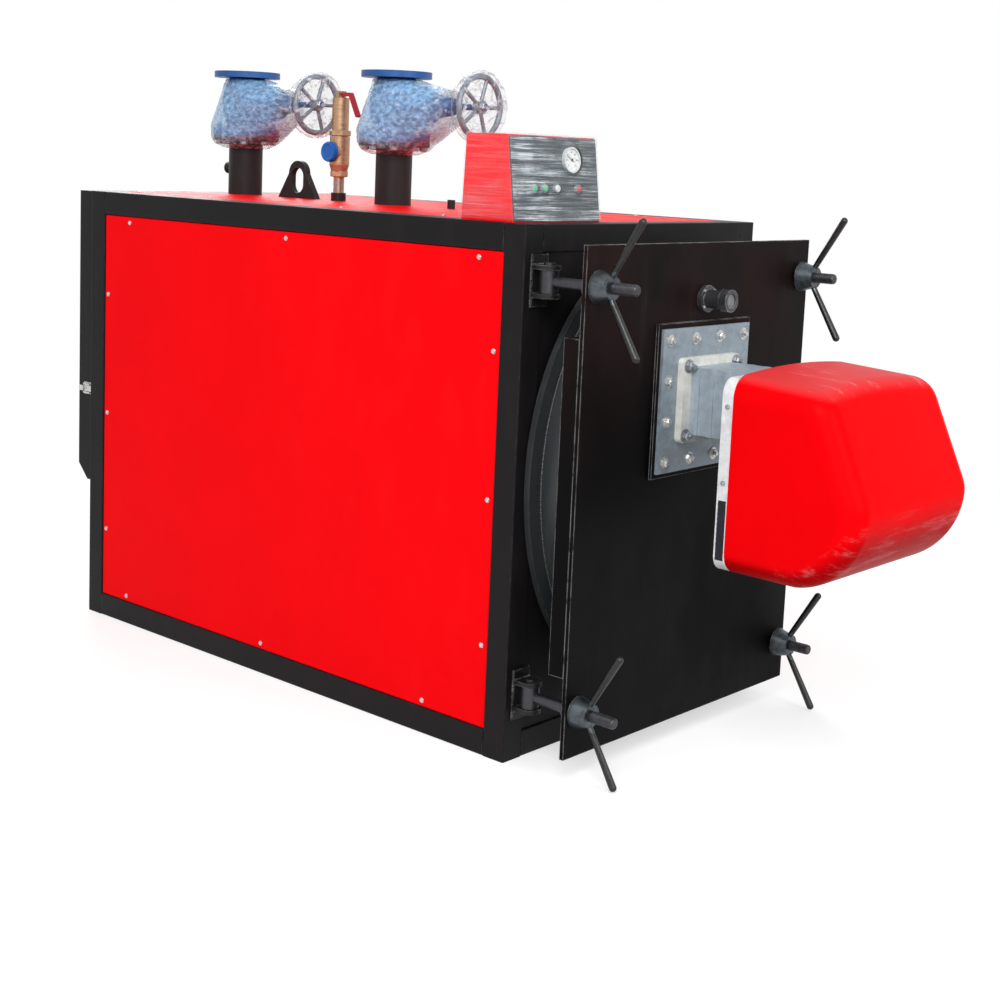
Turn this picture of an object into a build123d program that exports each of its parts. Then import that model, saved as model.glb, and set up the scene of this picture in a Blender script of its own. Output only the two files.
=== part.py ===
from build123d import *
import os

os.makedirs("parts", exist_ok=True)

# Frame of the part: millimetres, origin on the floor under the middle of the casing,
# +Z up, the door and burner face -Y, the long sides face -X and +X.

# Casing frame and panels
casing_length = 1856
casing_width = 1038
casing_height = 1400
frame_bar = 72
frame_edge_radius = 4
panel_depth = 30
panel_inset = 3
panel_reveal = 2
panel_edge_radius = 5
end_sheet_depth = 20
end_sheet_inset = 6

# Oval pressure drum
drum_side_gap = 79
drum_floor_gap = 175
drum_top_gap = 105
drum_wall = 12
tube_plate_depth = 15
drum_end_margin = 23
drum_hole_gap = 4
saddle_setback = 345
saddle_depth = 40
saddle_width = 420
curve_gap = 0.3

# Collar in front of the casing that the door closes on
collar_reach = 132
collar_flange_overhang_x = 46
collar_flange_overhang_z = 34
collar_flange_depth = 18
collar_flange_reach = 22

# Furnace and smoke tubes
furnace_crown_gap = 100
furnace_tube_gap = 105
furnace_wall = 10
furnace_back_gap = 405
furnace_end_depth = 14
weld_land = 5
smoke_tube_radius = 44.5
smoke_tube_wall = 4
smoke_tube_side_margin = 140
smoke_tube_floor_margin = 145
smoke_tube_pitch_share = 0.125
smoke_tube_row_counts = (5, 4, 3)
insert_length = 320
insert_recess = 12
insert_core_radius = 14
insert_slot_width = 6
insert_slot_count = 8
fit_gap = 0.2

# Rear smoke box and flue spigot
smoke_box_side_margin = 69
smoke_box_top_margin = 5
smoke_box_depth = 164
smoke_box_bottom_z = 420
smoke_box_wall = 5
smoke_box_chamfer = 50
flue_radius = 125
flue_wall = 4
flue_length = 120
flue_flange_radius = 150
flue_flange_depth = 6
flue_rise = 380
drain_radius = 20
drain_length = 45
drain_y_from_back = 80

# Pipe stubs on the crown, one for flow and one for return
stub_radius = 57
stub_wall = 5
stub_rise = 200
stub_sink = 35
return_setback = 146
stub_pitch = 716
flange_radius = 110
flange_depth = 20
flange_bolt_circle_radius = 90
flange_bolt_radius = 9
flange_bolt_count = 8
boss_radius = 20
boss_length = 34
boss_rise = 87

# Gate valves on the stubs
valve_face_to_face = 210
valve_bore_radius = 50
valve_neck_radius = 58
valve_belly_radius = 82
valve_gate_depth = 36
bonnet_seat_y = 78
bonnet_flange_half_width = 98
bonnet_flange_half_height = 62
bonnet_flange_depth = 16
bonnet_half_width = 78
bonnet_half_height = 48
bonnet_length = 134
bonnet_nose_radius = 26
stem_radius = 10
wheel_distance = 352
wheel_radius = 90
wheel_rim_radius = 9
wheel_hub_radius = 20
wheel_hub_depth = 26
wheel_spoke_radius = 6
wheel_spoke_count = 5
running_gap = 0.06

# Safety valve, plug and lifting lug on the crown
safety_setback = 467
socket_radius = 24
socket_height = 26
nipple_radius = 17
nipple_height = 50
safety_base_radius = 21
safety_body_radius = 32
safety_cone_height = 40
safety_body_height = 130
safety_cap_radius = 27
safety_cap_height = 122
safety_outlet_radius = 27
safety_outlet_length = 52
safety_outlet_rise = 80
lever_width = 14
lever_depth = 6
lever_arm = 46
lever_drop = 66
lever_flare = 34
lever_post_height = 22
lever_post_width = 8
lever_pin_radius = 3
plug_setback = 251
plug_radius = 12
plug_height = 27
lug_setback = 277
lug_length = 186
lug_height = 122
lug_depth = 20
lug_top_radius = 42
lug_hole_width = 58
lug_hole_height = 84
lug_hole_rise = 16

# Control box on the crown
box_side_setback = 29
box_width = 355
box_front_setback = 70
box_depth = 177
box_height = 222
box_front_lean = 29
box_rear_lean = 9
box_edge_radius = 6
fascia_margin = 3
fascia_depth = 4
gauge_offset = 240
gauge_rise = 162
gauge_radius = 34
gauge_depth = 9
gauge_rim = 4
switch_rise = 86
switch_offsets = (81, 123, 173, 261)
switch_radius = 11
switch_depth = 8

# Door
door_edge_inset = 6
door_bottom_z = 61
door_top_drop = 39
door_reach = 194
door_depth = 12
stiffener_width = 50
stiffener_depth = 48
stiffener_bottom_gap = 211
stiffener_top_gap = 231
lining_rim_inset = 2
lining_seal_gap = 0.3
lining_plug_inset = 60
lining_plug_taper = 25
lining_plug_length = 72

# Swing bolts, brackets and wing nuts
bolt_side_setback = 56
pin_reach = 36
lower_bolt_z = 178
upper_bolt_drop = 142
pin_radius = 10
eye_radius = 25
eye_height = 58
shank_radius = 14
shank_reach = 120
shank_end_radius = 5
back_nut_flats = 46
back_nut_depth = 26
bolt_hole_gap = 2
lug_gap = 1
bracket_lug_depth = 12
bracket_lug_width = 60
bracket_base_depth = 6
bracket_base_height = 132
pin_head_radius = 15
pin_head_depth = 6
nut_hub_radius = 42
nut_hub_depth = 46
nut_nose_radius = 30
nut_seat_gap = 0.3
nut_slack = 13
back_nut_slack = 8
nut_arm_rise = 165
nut_arm_reach = 100
nut_arm_root_radius = 7.5
nut_arm_tip_radius = 10

# Sight glass on the door
sight_gap = 59
sight_flange_radius = 36
sight_flange_depth = 12
sight_barrel_radius = 25
sight_barrel_length = 48
sight_cap_radius = 30
sight_cap_depth = 24
sight_window_radius = 19
sight_window_recess = 6

# Burner on the door
blast_tube_radius = 86
blast_tube_wall = 6
blast_tube_reach = 208
blast_hole_gap = 8
raised_frame_width = 424
raised_frame_height = 406
raised_frame_depth = 8
burner_plate_width = 398
burner_plate_height = 380
burner_plate_depth = 8
burner_flange_width = 258
burner_flange_height = 224
burner_flange_depth = 20
burner_flange_radius = 14
neck_width = 188
neck_height = 178
neck_rib_count = 5
neck_rib_depth = 4
neck_rib_width = 12
burner_standoff = 256
burner_base_depth = 32
burner_base_width = 556
burner_base_height = 484
burner_base_drop = 141
burner_base_radius = 40
burner_vent_depth = 3
burner_vent_width = 24
burner_vent_height = 150
burner_vent_rise = 30
hood_back_width = 560
hood_front_width = 590
hood_length = 366
hood_front_overrun = 20
hood_back_height = 492
hood_front_fall = 25
hood_crown_rise = 16
hood_head_room = 50
hood_head_setback = 142
hood_lip_rise = 222
hood_chin_setback = 38
hood_chin_rise = 88
hood_belly_setback = 180
hood_brow_radius = 80
hood_lip_radius = 90
hood_belly_radius = 60
hood_edge_radius = 56

# One overrun serves every through cut
cut_overrun = 5

# Places worked out from the values above
front_y = -casing_length / 2
rear_y = casing_length / 2
clear_width = casing_width - frame_bar * 2
clear_length = casing_length - frame_bar * 2
clear_height = casing_height - frame_bar * 2
drum_half_width = casing_width / 2 - drum_side_gap
drum_half_height = (casing_height - drum_floor_gap - drum_top_gap) / 2
drum_centre_z = drum_floor_gap + drum_half_height
drum_end_y = rear_y - drum_end_margin
plate_face_y = drum_end_y + tube_plate_depth
crown_z = drum_centre_z + drum_half_height
saddle_y = drum_end_y - saddle_setback
collar_front_y = front_y - collar_reach
collar_flange_y = front_y - collar_flange_reach
smoke_tube_pitch_z = drum_half_height * 2 * smoke_tube_pitch_share
tube_bank_height = smoke_tube_pitch_z * (len(smoke_tube_row_counts) - 1)
furnace_room = drum_half_height * 2 - furnace_crown_gap - furnace_tube_gap
furnace_outer_radius = (furnace_room - tube_bank_height - smoke_tube_floor_margin) / 2
furnace_end_y = drum_end_y - furnace_back_gap
burner_z = crown_z - furnace_crown_gap - furnace_outer_radius
smoke_tube_top_row_z = burner_z - furnace_outer_radius - furnace_tube_gap
smoke_tube_pitch_x = (drum_half_width - smoke_tube_side_margin) * 2 / (max(smoke_tube_row_counts) - 1)
smoke_box_width = casing_width - smoke_box_side_margin * 2
smoke_box_top_z = casing_height - smoke_box_top_margin
flue_z = smoke_box_bottom_z + flue_rise
return_y = rear_y - return_setback
flow_y = return_y - stub_pitch
lug_y = return_y - lug_setback
safety_y = return_y - safety_setback
plug_y = flow_y - plug_setback
stub_top_z = casing_height + stub_rise
boss_z = casing_height + boss_rise
wheel_z = stub_top_z + valve_face_to_face / 2
box_left_x = box_side_setback - casing_width / 2
box_front_y = front_y + box_front_setback
door_half_width = casing_width / 2 - door_edge_inset
door_top_z = casing_height - door_top_drop
door_front_y = front_y - door_reach
door_back_y = door_front_y + door_depth
door_centre_z = (door_bottom_z + door_top_z) / 2
door_height = door_top_z - door_bottom_z
stiffener_bottom_z = door_bottom_z + stiffener_bottom_gap
stiffener_top_z = door_top_z - stiffener_top_gap
bolt_x = casing_width / 2 - bolt_side_setback
pin_y = front_y - pin_reach
bolt_heights = {"lower": lower_bolt_z, "upper": casing_height - upper_bolt_drop}
bracket_lug_z = eye_height / 2 + lug_gap + bracket_lug_depth / 2
shank_end_y = door_front_y - shank_reach
sight_z = burner_z + raised_frame_height / 2 + sight_gap
blast_tube_end_y = front_y + blast_tube_reach
plate_front_y = door_front_y - raised_frame_depth - burner_plate_depth
neck_front_y = plate_front_y - burner_flange_depth
burner_base_back_y = door_front_y - burner_standoff
burner_base_z = burner_z - burner_base_drop
hood_back_y = burner_base_back_y - burner_base_depth
MIDDLE_LOW = (Align.CENTER, Align.CENTER, Align.MIN)


def facing(y):
    """Plane across the boiler at depth y, looking to the front, with local axes X and Z."""
    return Plane.XZ.offset(-y)


def save(builder, node_name):
    """Label a finished piece and write it as a STEP file."""
    builder.part.label = node_name
    export_step(builder.part, f"parts/{node_name}.step")


def smoke_tube_places():
    """Centres of the smoke tubes, in rows that narrow towards the bottom of the drum."""
    places = []
    for row, count in enumerate(smoke_tube_row_counts):
        row_z = smoke_tube_top_row_z - row * smoke_tube_pitch_z
        for column in range(count):
            places.append(((column - (count - 1) / 2) * smoke_tube_pitch_x, row_z))
    return places


# Casing frame
with BuildPart() as frame_posts:
    with GridLocations(casing_width - frame_bar, casing_length - frame_bar, 2, 2):
        Box(frame_bar, frame_bar, casing_height, align=MIDDLE_LOW)
    fillet(frame_posts.edges().filter_by(Axis.Z), radius=frame_edge_radius)
save(frame_posts, "frame_posts")

with BuildPart() as frame_side_rails:
    for level in (0, casing_height - frame_bar):
        with BuildSketch(Plane.XY.offset(level)):
            with GridLocations(casing_width - frame_bar, 0, 2, 1):
                Rectangle(frame_bar, clear_length)
        extrude(amount=frame_bar)
    fillet(frame_side_rails.edges().filter_by(Axis.Y), radius=frame_edge_radius)
save(frame_side_rails, "frame_side_rails")

with BuildPart() as frame_cross_rails:
    with BuildSketch(Plane.XY.offset(casing_height - frame_bar)):
        with GridLocations(0, casing_length - frame_bar, 1, 2):
            Rectangle(clear_width, frame_bar)
    extrude(amount=frame_bar)
    with BuildSketch():
        with GridLocations(0, casing_length - frame_bar, 1, 2):
            Rectangle(clear_width, frame_bar)
        with GridLocations(0, saddle_y, 1, 3):
            Rectangle(clear_width, frame_bar)
    extrude(amount=frame_bar)
    fillet(frame_cross_rails.edges().filter_by(Axis.X), radius=frame_edge_radius)
save(frame_cross_rails, "frame_cross_rails")

# Casing panels
side_panel_x = casing_width / 2 - panel_inset - panel_depth / 2
with BuildPart() as side_panels:
    with BuildSketch(Plane.XY.offset(frame_bar)):
        with GridLocations(side_panel_x * 2, 0, 2, 1):
            Rectangle(panel_depth, clear_length - panel_reveal * 2)
    extrude(amount=clear_height - panel_reveal)
    outer_faces = side_panels.faces().sort_by(Axis.X)[0:1] + side_panels.faces().sort_by(Axis.X)[-1:]
    fillet([edge for face in outer_faces for edge in face.edges()], radius=panel_edge_radius)
save(side_panels, "side_panels")

with BuildPart() as top_panel:
    with BuildSketch(Plane.XY.offset(casing_height)):
        Rectangle(clear_width, clear_length)
        with Locations((0, flow_y), (0, return_y)):
            Circle(stub_radius + panel_reveal, mode=Mode.SUBTRACT)
        with Locations((0, safety_y)):
            Circle(socket_radius + panel_reveal, mode=Mode.SUBTRACT)
        with Locations((0, plug_y)):
            Circle(plug_radius + panel_reveal, mode=Mode.SUBTRACT)
        with Locations((0, lug_y)):
            Rectangle(lug_depth + panel_reveal * 2, lug_length + panel_reveal * 2, mode=Mode.SUBTRACT)
    extrude(amount=-panel_depth)
save(top_panel, "top_panel")

with BuildPart() as end_panels:
    for outer_y in (front_y + end_sheet_inset + end_sheet_depth, rear_y - end_sheet_inset):
        with BuildSketch(facing(outer_y)):
            with Locations((0, casing_height / 2)):
                Rectangle(clear_width, clear_height)
            with Locations((0, drum_centre_z)):
                Ellipse(
                    drum_half_width + drum_hole_gap,
                    drum_half_height + drum_hole_gap,
                    mode=Mode.SUBTRACT,
                )
        extrude(amount=end_sheet_depth)
save(end_panels, "end_panels")

# Pressure drum
with BuildPart() as boiler_drum:
    with BuildSketch(facing(drum_end_y)):
        with Locations((0, drum_centre_z)):
            Ellipse(drum_half_width, drum_half_height)
            Ellipse(drum_half_width - drum_wall, drum_half_height - drum_wall, mode=Mode.SUBTRACT)
    extrude(amount=drum_end_y * 2)
    with BuildSketch(Plane.XY.offset(crown_z + cut_overrun)):
        with Locations((0, flow_y), (0, return_y)):
            Circle(stub_radius + fit_gap)
        with Locations((0, safety_y)):
            Circle(socket_radius + fit_gap)
        with Locations((0, plug_y)):
            Circle(plug_radius + fit_gap)
    extrude(amount=-stub_sink, mode=Mode.SUBTRACT)
save(boiler_drum, "boiler_drum")

with BuildPart() as drum_saddles:
    for place_y in (saddle_y, -saddle_y):
        with BuildSketch(facing(place_y + saddle_depth / 2)):
            with Locations((0, frame_bar)):
                Rectangle(saddle_width, drum_centre_z - frame_bar, align=(Align.CENTER, Align.MIN))
            with Locations((0, drum_centre_z)):
                Ellipse(
                    drum_half_width + curve_gap,
                    drum_half_height + curve_gap,
                    mode=Mode.SUBTRACT,
                )
        extrude(amount=saddle_depth)
save(drum_saddles, "drum_saddles")

with BuildPart() as front_tube_plate:
    with BuildSketch(facing(-drum_end_y)):
        with Locations((0, drum_centre_z)):
            Ellipse(drum_half_width, drum_half_height)
        with Locations((0, burner_z)):
            Circle(furnace_outer_radius + fit_gap, mode=Mode.SUBTRACT)
        with Locations(*smoke_tube_places()):
            Circle(smoke_tube_radius + fit_gap, mode=Mode.SUBTRACT)
    extrude(amount=tube_plate_depth)
save(front_tube_plate, "front_tube_plate")

with BuildPart() as rear_tube_plate:
    with BuildSketch(facing(plate_face_y)):
        with Locations((0, drum_centre_z)):
            Ellipse(drum_half_width, drum_half_height)
        with Locations(*smoke_tube_places()):
            Circle(smoke_tube_radius + fit_gap, mode=Mode.SUBTRACT)
    extrude(amount=tube_plate_depth)
save(rear_tube_plate, "rear_tube_plate")

with BuildPart() as furnace_tube:
    with BuildSketch(facing(furnace_end_y)):
        with Locations((0, burner_z)):
            Circle(furnace_outer_radius)
    extrude(amount=furnace_end_y + plate_face_y + weld_land)
    with BuildSketch(facing(furnace_end_y - furnace_end_depth)):
        with Locations((0, burner_z)):
            Circle(furnace_outer_radius - furnace_wall)
    extrude(amount=casing_length, mode=Mode.SUBTRACT)
save(furnace_tube, "furnace_tube")

smoke_tube_bore = smoke_tube_radius - smoke_tube_wall
with BuildPart() as smoke_tubes:
    with BuildSketch(facing(plate_face_y + weld_land)):
        with Locations(*smoke_tube_places()):
            Circle(smoke_tube_radius)
            Circle(smoke_tube_bore, mode=Mode.SUBTRACT)
    extrude(amount=(plate_face_y + weld_land) * 2)
save(smoke_tubes, "smoke_tubes")

with BuildPart() as tube_inserts:
    with BuildSketch(facing(-plate_face_y - weld_land + insert_recess + insert_length)):
        with Locations(*smoke_tube_places()):
            Circle(smoke_tube_bore - fit_gap)
            with PolarLocations(insert_core_radius, insert_slot_count):
                Rectangle(
                    smoke_tube_radius,
                    insert_slot_width,
                    align=(Align.MIN, Align.CENTER),
                    mode=Mode.SUBTRACT,
                )
    extrude(amount=insert_length)
save(tube_inserts, "tube_inserts")

flange_half_width = drum_half_width + collar_flange_overhang_x
flange_half_height = drum_half_height + collar_flange_overhang_z
with BuildPart() as drum_collar:
    with BuildSketch(facing(-plate_face_y)):
        with Locations((0, drum_centre_z)):
            Ellipse(drum_half_width, drum_half_height)
    extrude(amount=-plate_face_y - collar_front_y)
    with BuildSketch(facing(collar_flange_y + collar_flange_depth)):
        with Locations((0, drum_centre_z)):
            Ellipse(flange_half_width, flange_half_height)
    extrude(amount=collar_flange_depth)
    with BuildSketch(facing(-plate_face_y)):
        with Locations((0, drum_centre_z)):
            Ellipse(drum_half_width - drum_wall, drum_half_height - drum_wall)
    extrude(amount=casing_length, mode=Mode.SUBTRACT)
save(drum_collar, "drum_collar")

# Rear smoke box
smoke_box_back_y = rear_y + smoke_box_depth
with BuildPart() as smoke_box:
    with BuildSketch(Plane.YZ.offset(-smoke_box_width / 2)):
        with BuildLine():
            Polyline(
                (rear_y, smoke_box_bottom_z),
                (smoke_box_back_y - smoke_box_chamfer, smoke_box_bottom_z),
                (smoke_box_back_y, smoke_box_bottom_z + smoke_box_chamfer),
                (smoke_box_back_y, smoke_box_top_z),
                (rear_y, smoke_box_top_z),
                close=True,
            )
        make_face()
    extrude(amount=smoke_box_width)
    offset(amount=-smoke_box_wall, openings=smoke_box.faces().sort_by(Axis.Y)[0])
    with BuildSketch(facing(smoke_box_back_y + cut_overrun)):
        with Locations((0, flue_z)):
            Circle(flue_radius - flue_wall)
    extrude(amount=smoke_box_wall + cut_overrun * 2, mode=Mode.SUBTRACT)
    with BuildSketch(Plane.XY.offset(smoke_box_bottom_z + smoke_box_wall / 2)):
        with Locations((0, rear_y + drain_y_from_back)):
            Circle(drain_radius)
    extrude(amount=-drain_length)
save(smoke_box, "smoke_box")

with BuildPart() as flue_spigot:
    with BuildSketch(facing(smoke_box_back_y + flue_length)):
        with Locations((0, flue_z)):
            Circle(flue_radius)
    extrude(amount=flue_length)
    with BuildSketch(facing(smoke_box_back_y + flue_flange_depth)):
        with Locations((0, flue_z)):
            Circle(flue_flange_radius)
    extrude(amount=flue_flange_depth)
    with BuildSketch(facing(smoke_box_back_y + flue_length)):
        with Locations((0, flue_z)):
            Circle(flue_radius - flue_wall)
    extrude(amount=flue_length, mode=Mode.SUBTRACT)
save(flue_spigot, "flue_spigot")

# Pipe stubs and gate valves
with BuildPart() as pipe_stubs:
    for stub_y in (flow_y, return_y):
        with BuildSketch(Plane.XY.offset(crown_z - stub_sink + cut_overrun)):
            with Locations((0, stub_y)):
                Circle(stub_radius)
        extrude(amount=stub_top_z - crown_z + stub_sink - cut_overrun)
        with BuildSketch(Plane.XY.offset(stub_top_z - flange_depth)):
            with Locations((0, stub_y)):
                Circle(flange_radius)
                with PolarLocations(flange_bolt_circle_radius, flange_bolt_count):
                    Circle(flange_bolt_radius, mode=Mode.SUBTRACT)
        extrude(amount=flange_depth)
    with BuildSketch(facing(return_y + stub_radius + boss_length)):
        with Locations((0, boss_z)):
            Circle(boss_radius)
    extrude(amount=boss_length + stub_wall)
    with BuildSketch(Plane.XY.offset(stub_top_z)):
        with Locations((0, flow_y), (0, return_y)):
            Circle(stub_radius - stub_wall)
    extrude(amount=-casing_height, mode=Mode.SUBTRACT)
save(pipe_stubs, "pipe_stubs")

valve_top_z = stub_top_z + valve_face_to_face
with BuildPart() as valve_bodies:
    for valve_y in (flow_y, return_y):
        with BuildSketch(Plane.YZ):
            with BuildLine():
                neck_y = valve_y + valve_neck_radius
                belly = (valve_y + valve_belly_radius, wheel_z)
                foot_z = stub_top_z + flange_depth
                head_z = valve_top_z - flange_depth
                Line((valve_y, stub_top_z), (valve_y + flange_radius, stub_top_z))
                Line((valve_y + flange_radius, stub_top_z), (valve_y + flange_radius, foot_z))
                Line((valve_y + flange_radius, foot_z), (neck_y, foot_z))
                ThreePointArc((neck_y, foot_z), belly, (neck_y, head_z))
                Line((neck_y, head_z), (valve_y + flange_radius, head_z))
                Line((valve_y + flange_radius, head_z), (valve_y + flange_radius, valve_top_z))
                Line((valve_y + flange_radius, valve_top_z), (valve_y, valve_top_z))
                Line((valve_y, valve_top_z), (valve_y, stub_top_z))
            make_face()
        revolve(axis=Axis((0, valve_y, 0), (0, 0, 1)))
        with BuildSketch(facing(valve_y)):
            with Locations((0, wheel_z)):
                Ellipse(bonnet_half_width, bonnet_half_height)
        extrude(amount=bonnet_seat_y)
        with BuildSketch(facing(valve_y - bonnet_seat_y)):
            with Locations((0, wheel_z)):
                Ellipse(bonnet_flange_half_width, bonnet_flange_half_height)
        extrude(amount=bonnet_flange_depth)
        with BuildSketch(Plane.XY.offset(valve_top_z)):
            with Locations((0, valve_y)):
                Circle(valve_bore_radius)
                with PolarLocations(flange_bolt_circle_radius, flange_bolt_count):
                    Circle(flange_bolt_radius)
        extrude(amount=-flange_depth, mode=Mode.SUBTRACT)
        gate_top_z = wheel_z + valve_gate_depth / 2
        with BuildSketch(Plane.XY.offset(valve_top_z)):
            with Locations((0, valve_y)):
                Circle(valve_bore_radius)
        extrude(amount=gate_top_z - valve_top_z, mode=Mode.SUBTRACT)
        with BuildSketch(Plane.XY.offset(stub_top_z)):
            with Locations((0, valve_y)):
                Circle(valve_bore_radius)
                with PolarLocations(flange_bolt_circle_radius, flange_bolt_count):
                    Circle(flange_bolt_radius)
        extrude(amount=flange_depth, mode=Mode.SUBTRACT)
save(valve_bodies, "valve_bodies")

bonnet_back_offset = bonnet_seat_y + bonnet_flange_depth
bonnet_nose_offset = bonnet_back_offset + bonnet_flange_depth + bonnet_length
with BuildPart() as valve_bonnets:
    for valve_y in (flow_y, return_y):
        bonnet_back_y = valve_y - bonnet_back_offset
        with BuildSketch(facing(bonnet_back_y)):
            with Locations((0, wheel_z)):
                Ellipse(bonnet_flange_half_width, bonnet_flange_half_height)
        extrude(amount=bonnet_flange_depth)
        with BuildSketch(facing(bonnet_back_y - bonnet_flange_depth)):
            with Locations((0, wheel_z)):
                Ellipse(bonnet_half_width, bonnet_half_height)
        with BuildSketch(facing(valve_y - bonnet_nose_offset)):
            with Locations((0, wheel_z)):
                Ellipse(bonnet_nose_radius + fit_gap, bonnet_nose_radius)
        loft()
        with BuildSketch(facing(valve_y - bonnet_nose_offset)):
            with Locations((0, wheel_z)):
                Circle(stem_radius)
        extrude(amount=wheel_distance + wheel_hub_depth - bonnet_nose_offset)
save(valve_bonnets, "valve_bonnets")


def make_handwheel(valve_y):
    """Handwheel with a round rim, tapered hub and straight spokes, running on the valve stem."""
    wheel_y = valve_y - wheel_distance
    with BuildPart() as handwheel:
        with BuildSketch(facing(wheel_y + wheel_hub_depth / 2)):
            with Locations((0, wheel_z)):
                Circle(wheel_hub_radius)
        extrude(amount=wheel_hub_depth)
        with Locations(Location((0, wheel_y, wheel_z), (90, 0, 0))):
            Torus(wheel_radius, wheel_rim_radius)
            with PolarLocations(0, wheel_spoke_count):
                Cylinder(
                    wheel_spoke_radius,
                    wheel_radius,
                    rotation=(0, 90, 0),
                    align=MIDDLE_LOW,
                )
        with BuildSketch(facing(wheel_y + wheel_hub_depth)):
            with Locations((0, wheel_z)):
                Circle(stem_radius + running_gap)
        extrude(amount=wheel_hub_depth * 2, mode=Mode.SUBTRACT)
    return handwheel


for handwheel_name, handwheel_y in (("flow_handwheel", flow_y), ("return_handwheel", return_y)):
    save(make_handwheel(handwheel_y), handwheel_name)

# Sockets, safety valve and lifting lug on the crown
socket_top_z = casing_height + socket_height
socket_foot_z = crown_z - stub_sink + cut_overrun
with BuildPart() as crown_sockets:
    with BuildSketch(Plane.XY.offset(socket_foot_z)):
        with Locations((0, safety_y)):
            Circle(socket_radius)
    extrude(amount=socket_top_z - socket_foot_z)
    with BuildSketch(Plane.XY.offset(socket_foot_z)):
        with Locations((0, plug_y)):
            Circle(plug_radius)
    extrude(amount=casing_height + plug_height - socket_foot_z)
save(crown_sockets, "crown_sockets")

nipple_top_z = socket_top_z + nipple_height
safety_waist_z = nipple_top_z + safety_cone_height
safety_shoulder_z = nipple_top_z + safety_body_height
safety_top_z = safety_shoulder_z + safety_cap_height
with BuildPart() as safety_valve:
    with BuildSketch(Plane.YZ):
        with BuildLine():
            Polyline(
                (safety_y, socket_top_z),
                (safety_y + nipple_radius, socket_top_z),
                (safety_y + nipple_radius, nipple_top_z),
                (safety_y + safety_base_radius, nipple_top_z),
                (safety_y + safety_body_radius, safety_waist_z),
                (safety_y + safety_body_radius, safety_shoulder_z),
                (safety_y + safety_cap_radius, safety_shoulder_z),
                (safety_y + safety_cap_radius, safety_top_z),
                (safety_y, safety_top_z),
                close=True,
            )
        make_face()
    revolve(axis=Axis((0, safety_y, 0), (0, 0, 1)))
    with BuildSketch(Plane.YZ):
        with Locations((safety_y, nipple_top_z + safety_outlet_rise)):
            Circle(safety_outlet_radius)
    extrude(amount=-safety_outlet_length)
    with BuildSketch(Plane.XY.offset(safety_top_z)):
        with Locations((0, safety_y)):
            with GridLocations(lever_width + lever_post_width + fit_gap * 2, 0, 2, 1):
                Rectangle(lever_post_width, lever_width)
    extrude(amount=lever_post_height)
    with BuildSketch(Plane.YZ.offset(lever_width)):
        with Locations((safety_y, safety_top_z + lever_post_height / 2)):
            Circle(lever_pin_radius)
    extrude(amount=-lever_width * 2)
save(safety_valve, "safety_valve")

lever_pin_z = safety_top_z + lever_post_height / 2
with BuildPart() as safety_lever:
    with BuildSketch(Plane.YZ.offset(-lever_width / 2)):
        with BuildLine():
            lever_path = Polyline(
                (safety_y + lever_depth, lever_pin_z),
                (safety_y - lever_arm, lever_pin_z),
                (safety_y - lever_arm - lever_flare, lever_pin_z - lever_drop),
            )
            offset(lever_path, amount=lever_depth)
        make_face()
        with Locations((safety_y, lever_pin_z)):
            Circle(lever_pin_radius + running_gap, mode=Mode.SUBTRACT)
    extrude(amount=lever_width)
save(safety_lever, "safety_lever")

with BuildPart() as lifting_lug:
    with BuildSketch(Plane.YZ.offset(-lug_depth / 2)):
        lug_top_z = casing_height + lug_height
        with BuildLine():
            front_shoulder = (lug_y - lug_top_radius, lug_top_z - lug_top_radius)
            rear_shoulder = (lug_y + lug_top_radius, lug_top_z - lug_top_radius)
            Polyline(
                front_shoulder,
                (lug_y - lug_length / 2, casing_height),
                (lug_y - lug_length / 2, crown_z),
                (lug_y + lug_length / 2, crown_z),
                (lug_y + lug_length / 2, casing_height),
                rear_shoulder,
            )
            ThreePointArc(rear_shoulder, (lug_y, lug_top_z), front_shoulder)
        make_face()
        with Locations((lug_y, casing_height + lug_hole_rise + lug_hole_height / 2)):
            SlotOverall(lug_hole_height, lug_hole_width, rotation=90, mode=Mode.SUBTRACT)
    extrude(amount=lug_depth)
save(lifting_lug, "lifting_lug")

# Control box
box_top_z = casing_height + box_height
box_rear_y = box_front_y + box_depth
with BuildPart() as control_box:
    with BuildSketch(Plane.YZ.offset(box_left_x)):
        with BuildLine():
            Polyline(
                (box_front_y, casing_height),
                (box_rear_y, casing_height),
                (box_rear_y - box_rear_lean, box_top_z),
                (box_front_y + box_front_lean, box_top_z),
                close=True,
            )
        make_face()
    extrude(amount=box_width)
    fillet(control_box.edges().filter_by(Axis.X).sort_by(Axis.Z)[-2:], radius=box_edge_radius)
save(control_box, "control_box")

fascia_plane = Plane(
    origin=(box_left_x + box_width / 2, box_front_y, casing_height),
    x_dir=(1, 0, 0),
    z_dir=(0, -box_height, box_front_lean),
)
fascia_height = (box_height**2 + box_front_lean**2) ** 0.5
with BuildPart() as control_fascia:
    with BuildSketch(fascia_plane):
        with Locations((0, fascia_height / 2)):
            RectangleRounded(
                box_width - fascia_margin * 2,
                fascia_height - fascia_margin * 2,
                box_edge_radius,
            )
    extrude(amount=fascia_depth)
save(control_fascia, "control_fascia")

fascia_face = fascia_plane.offset(fascia_depth)
with BuildPart() as control_gauge:
    with BuildSketch(fascia_face):
        with Locations((gauge_offset - box_width / 2, gauge_rise)):
            Circle(gauge_radius)
    extrude(amount=gauge_depth)
    with BuildSketch(fascia_face.offset(gauge_depth)):
        with Locations((gauge_offset - box_width / 2, gauge_rise)):
            Circle(gauge_radius - gauge_rim)
    extrude(amount=-gauge_rim, mode=Mode.SUBTRACT)
save(control_gauge, "control_gauge")

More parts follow.
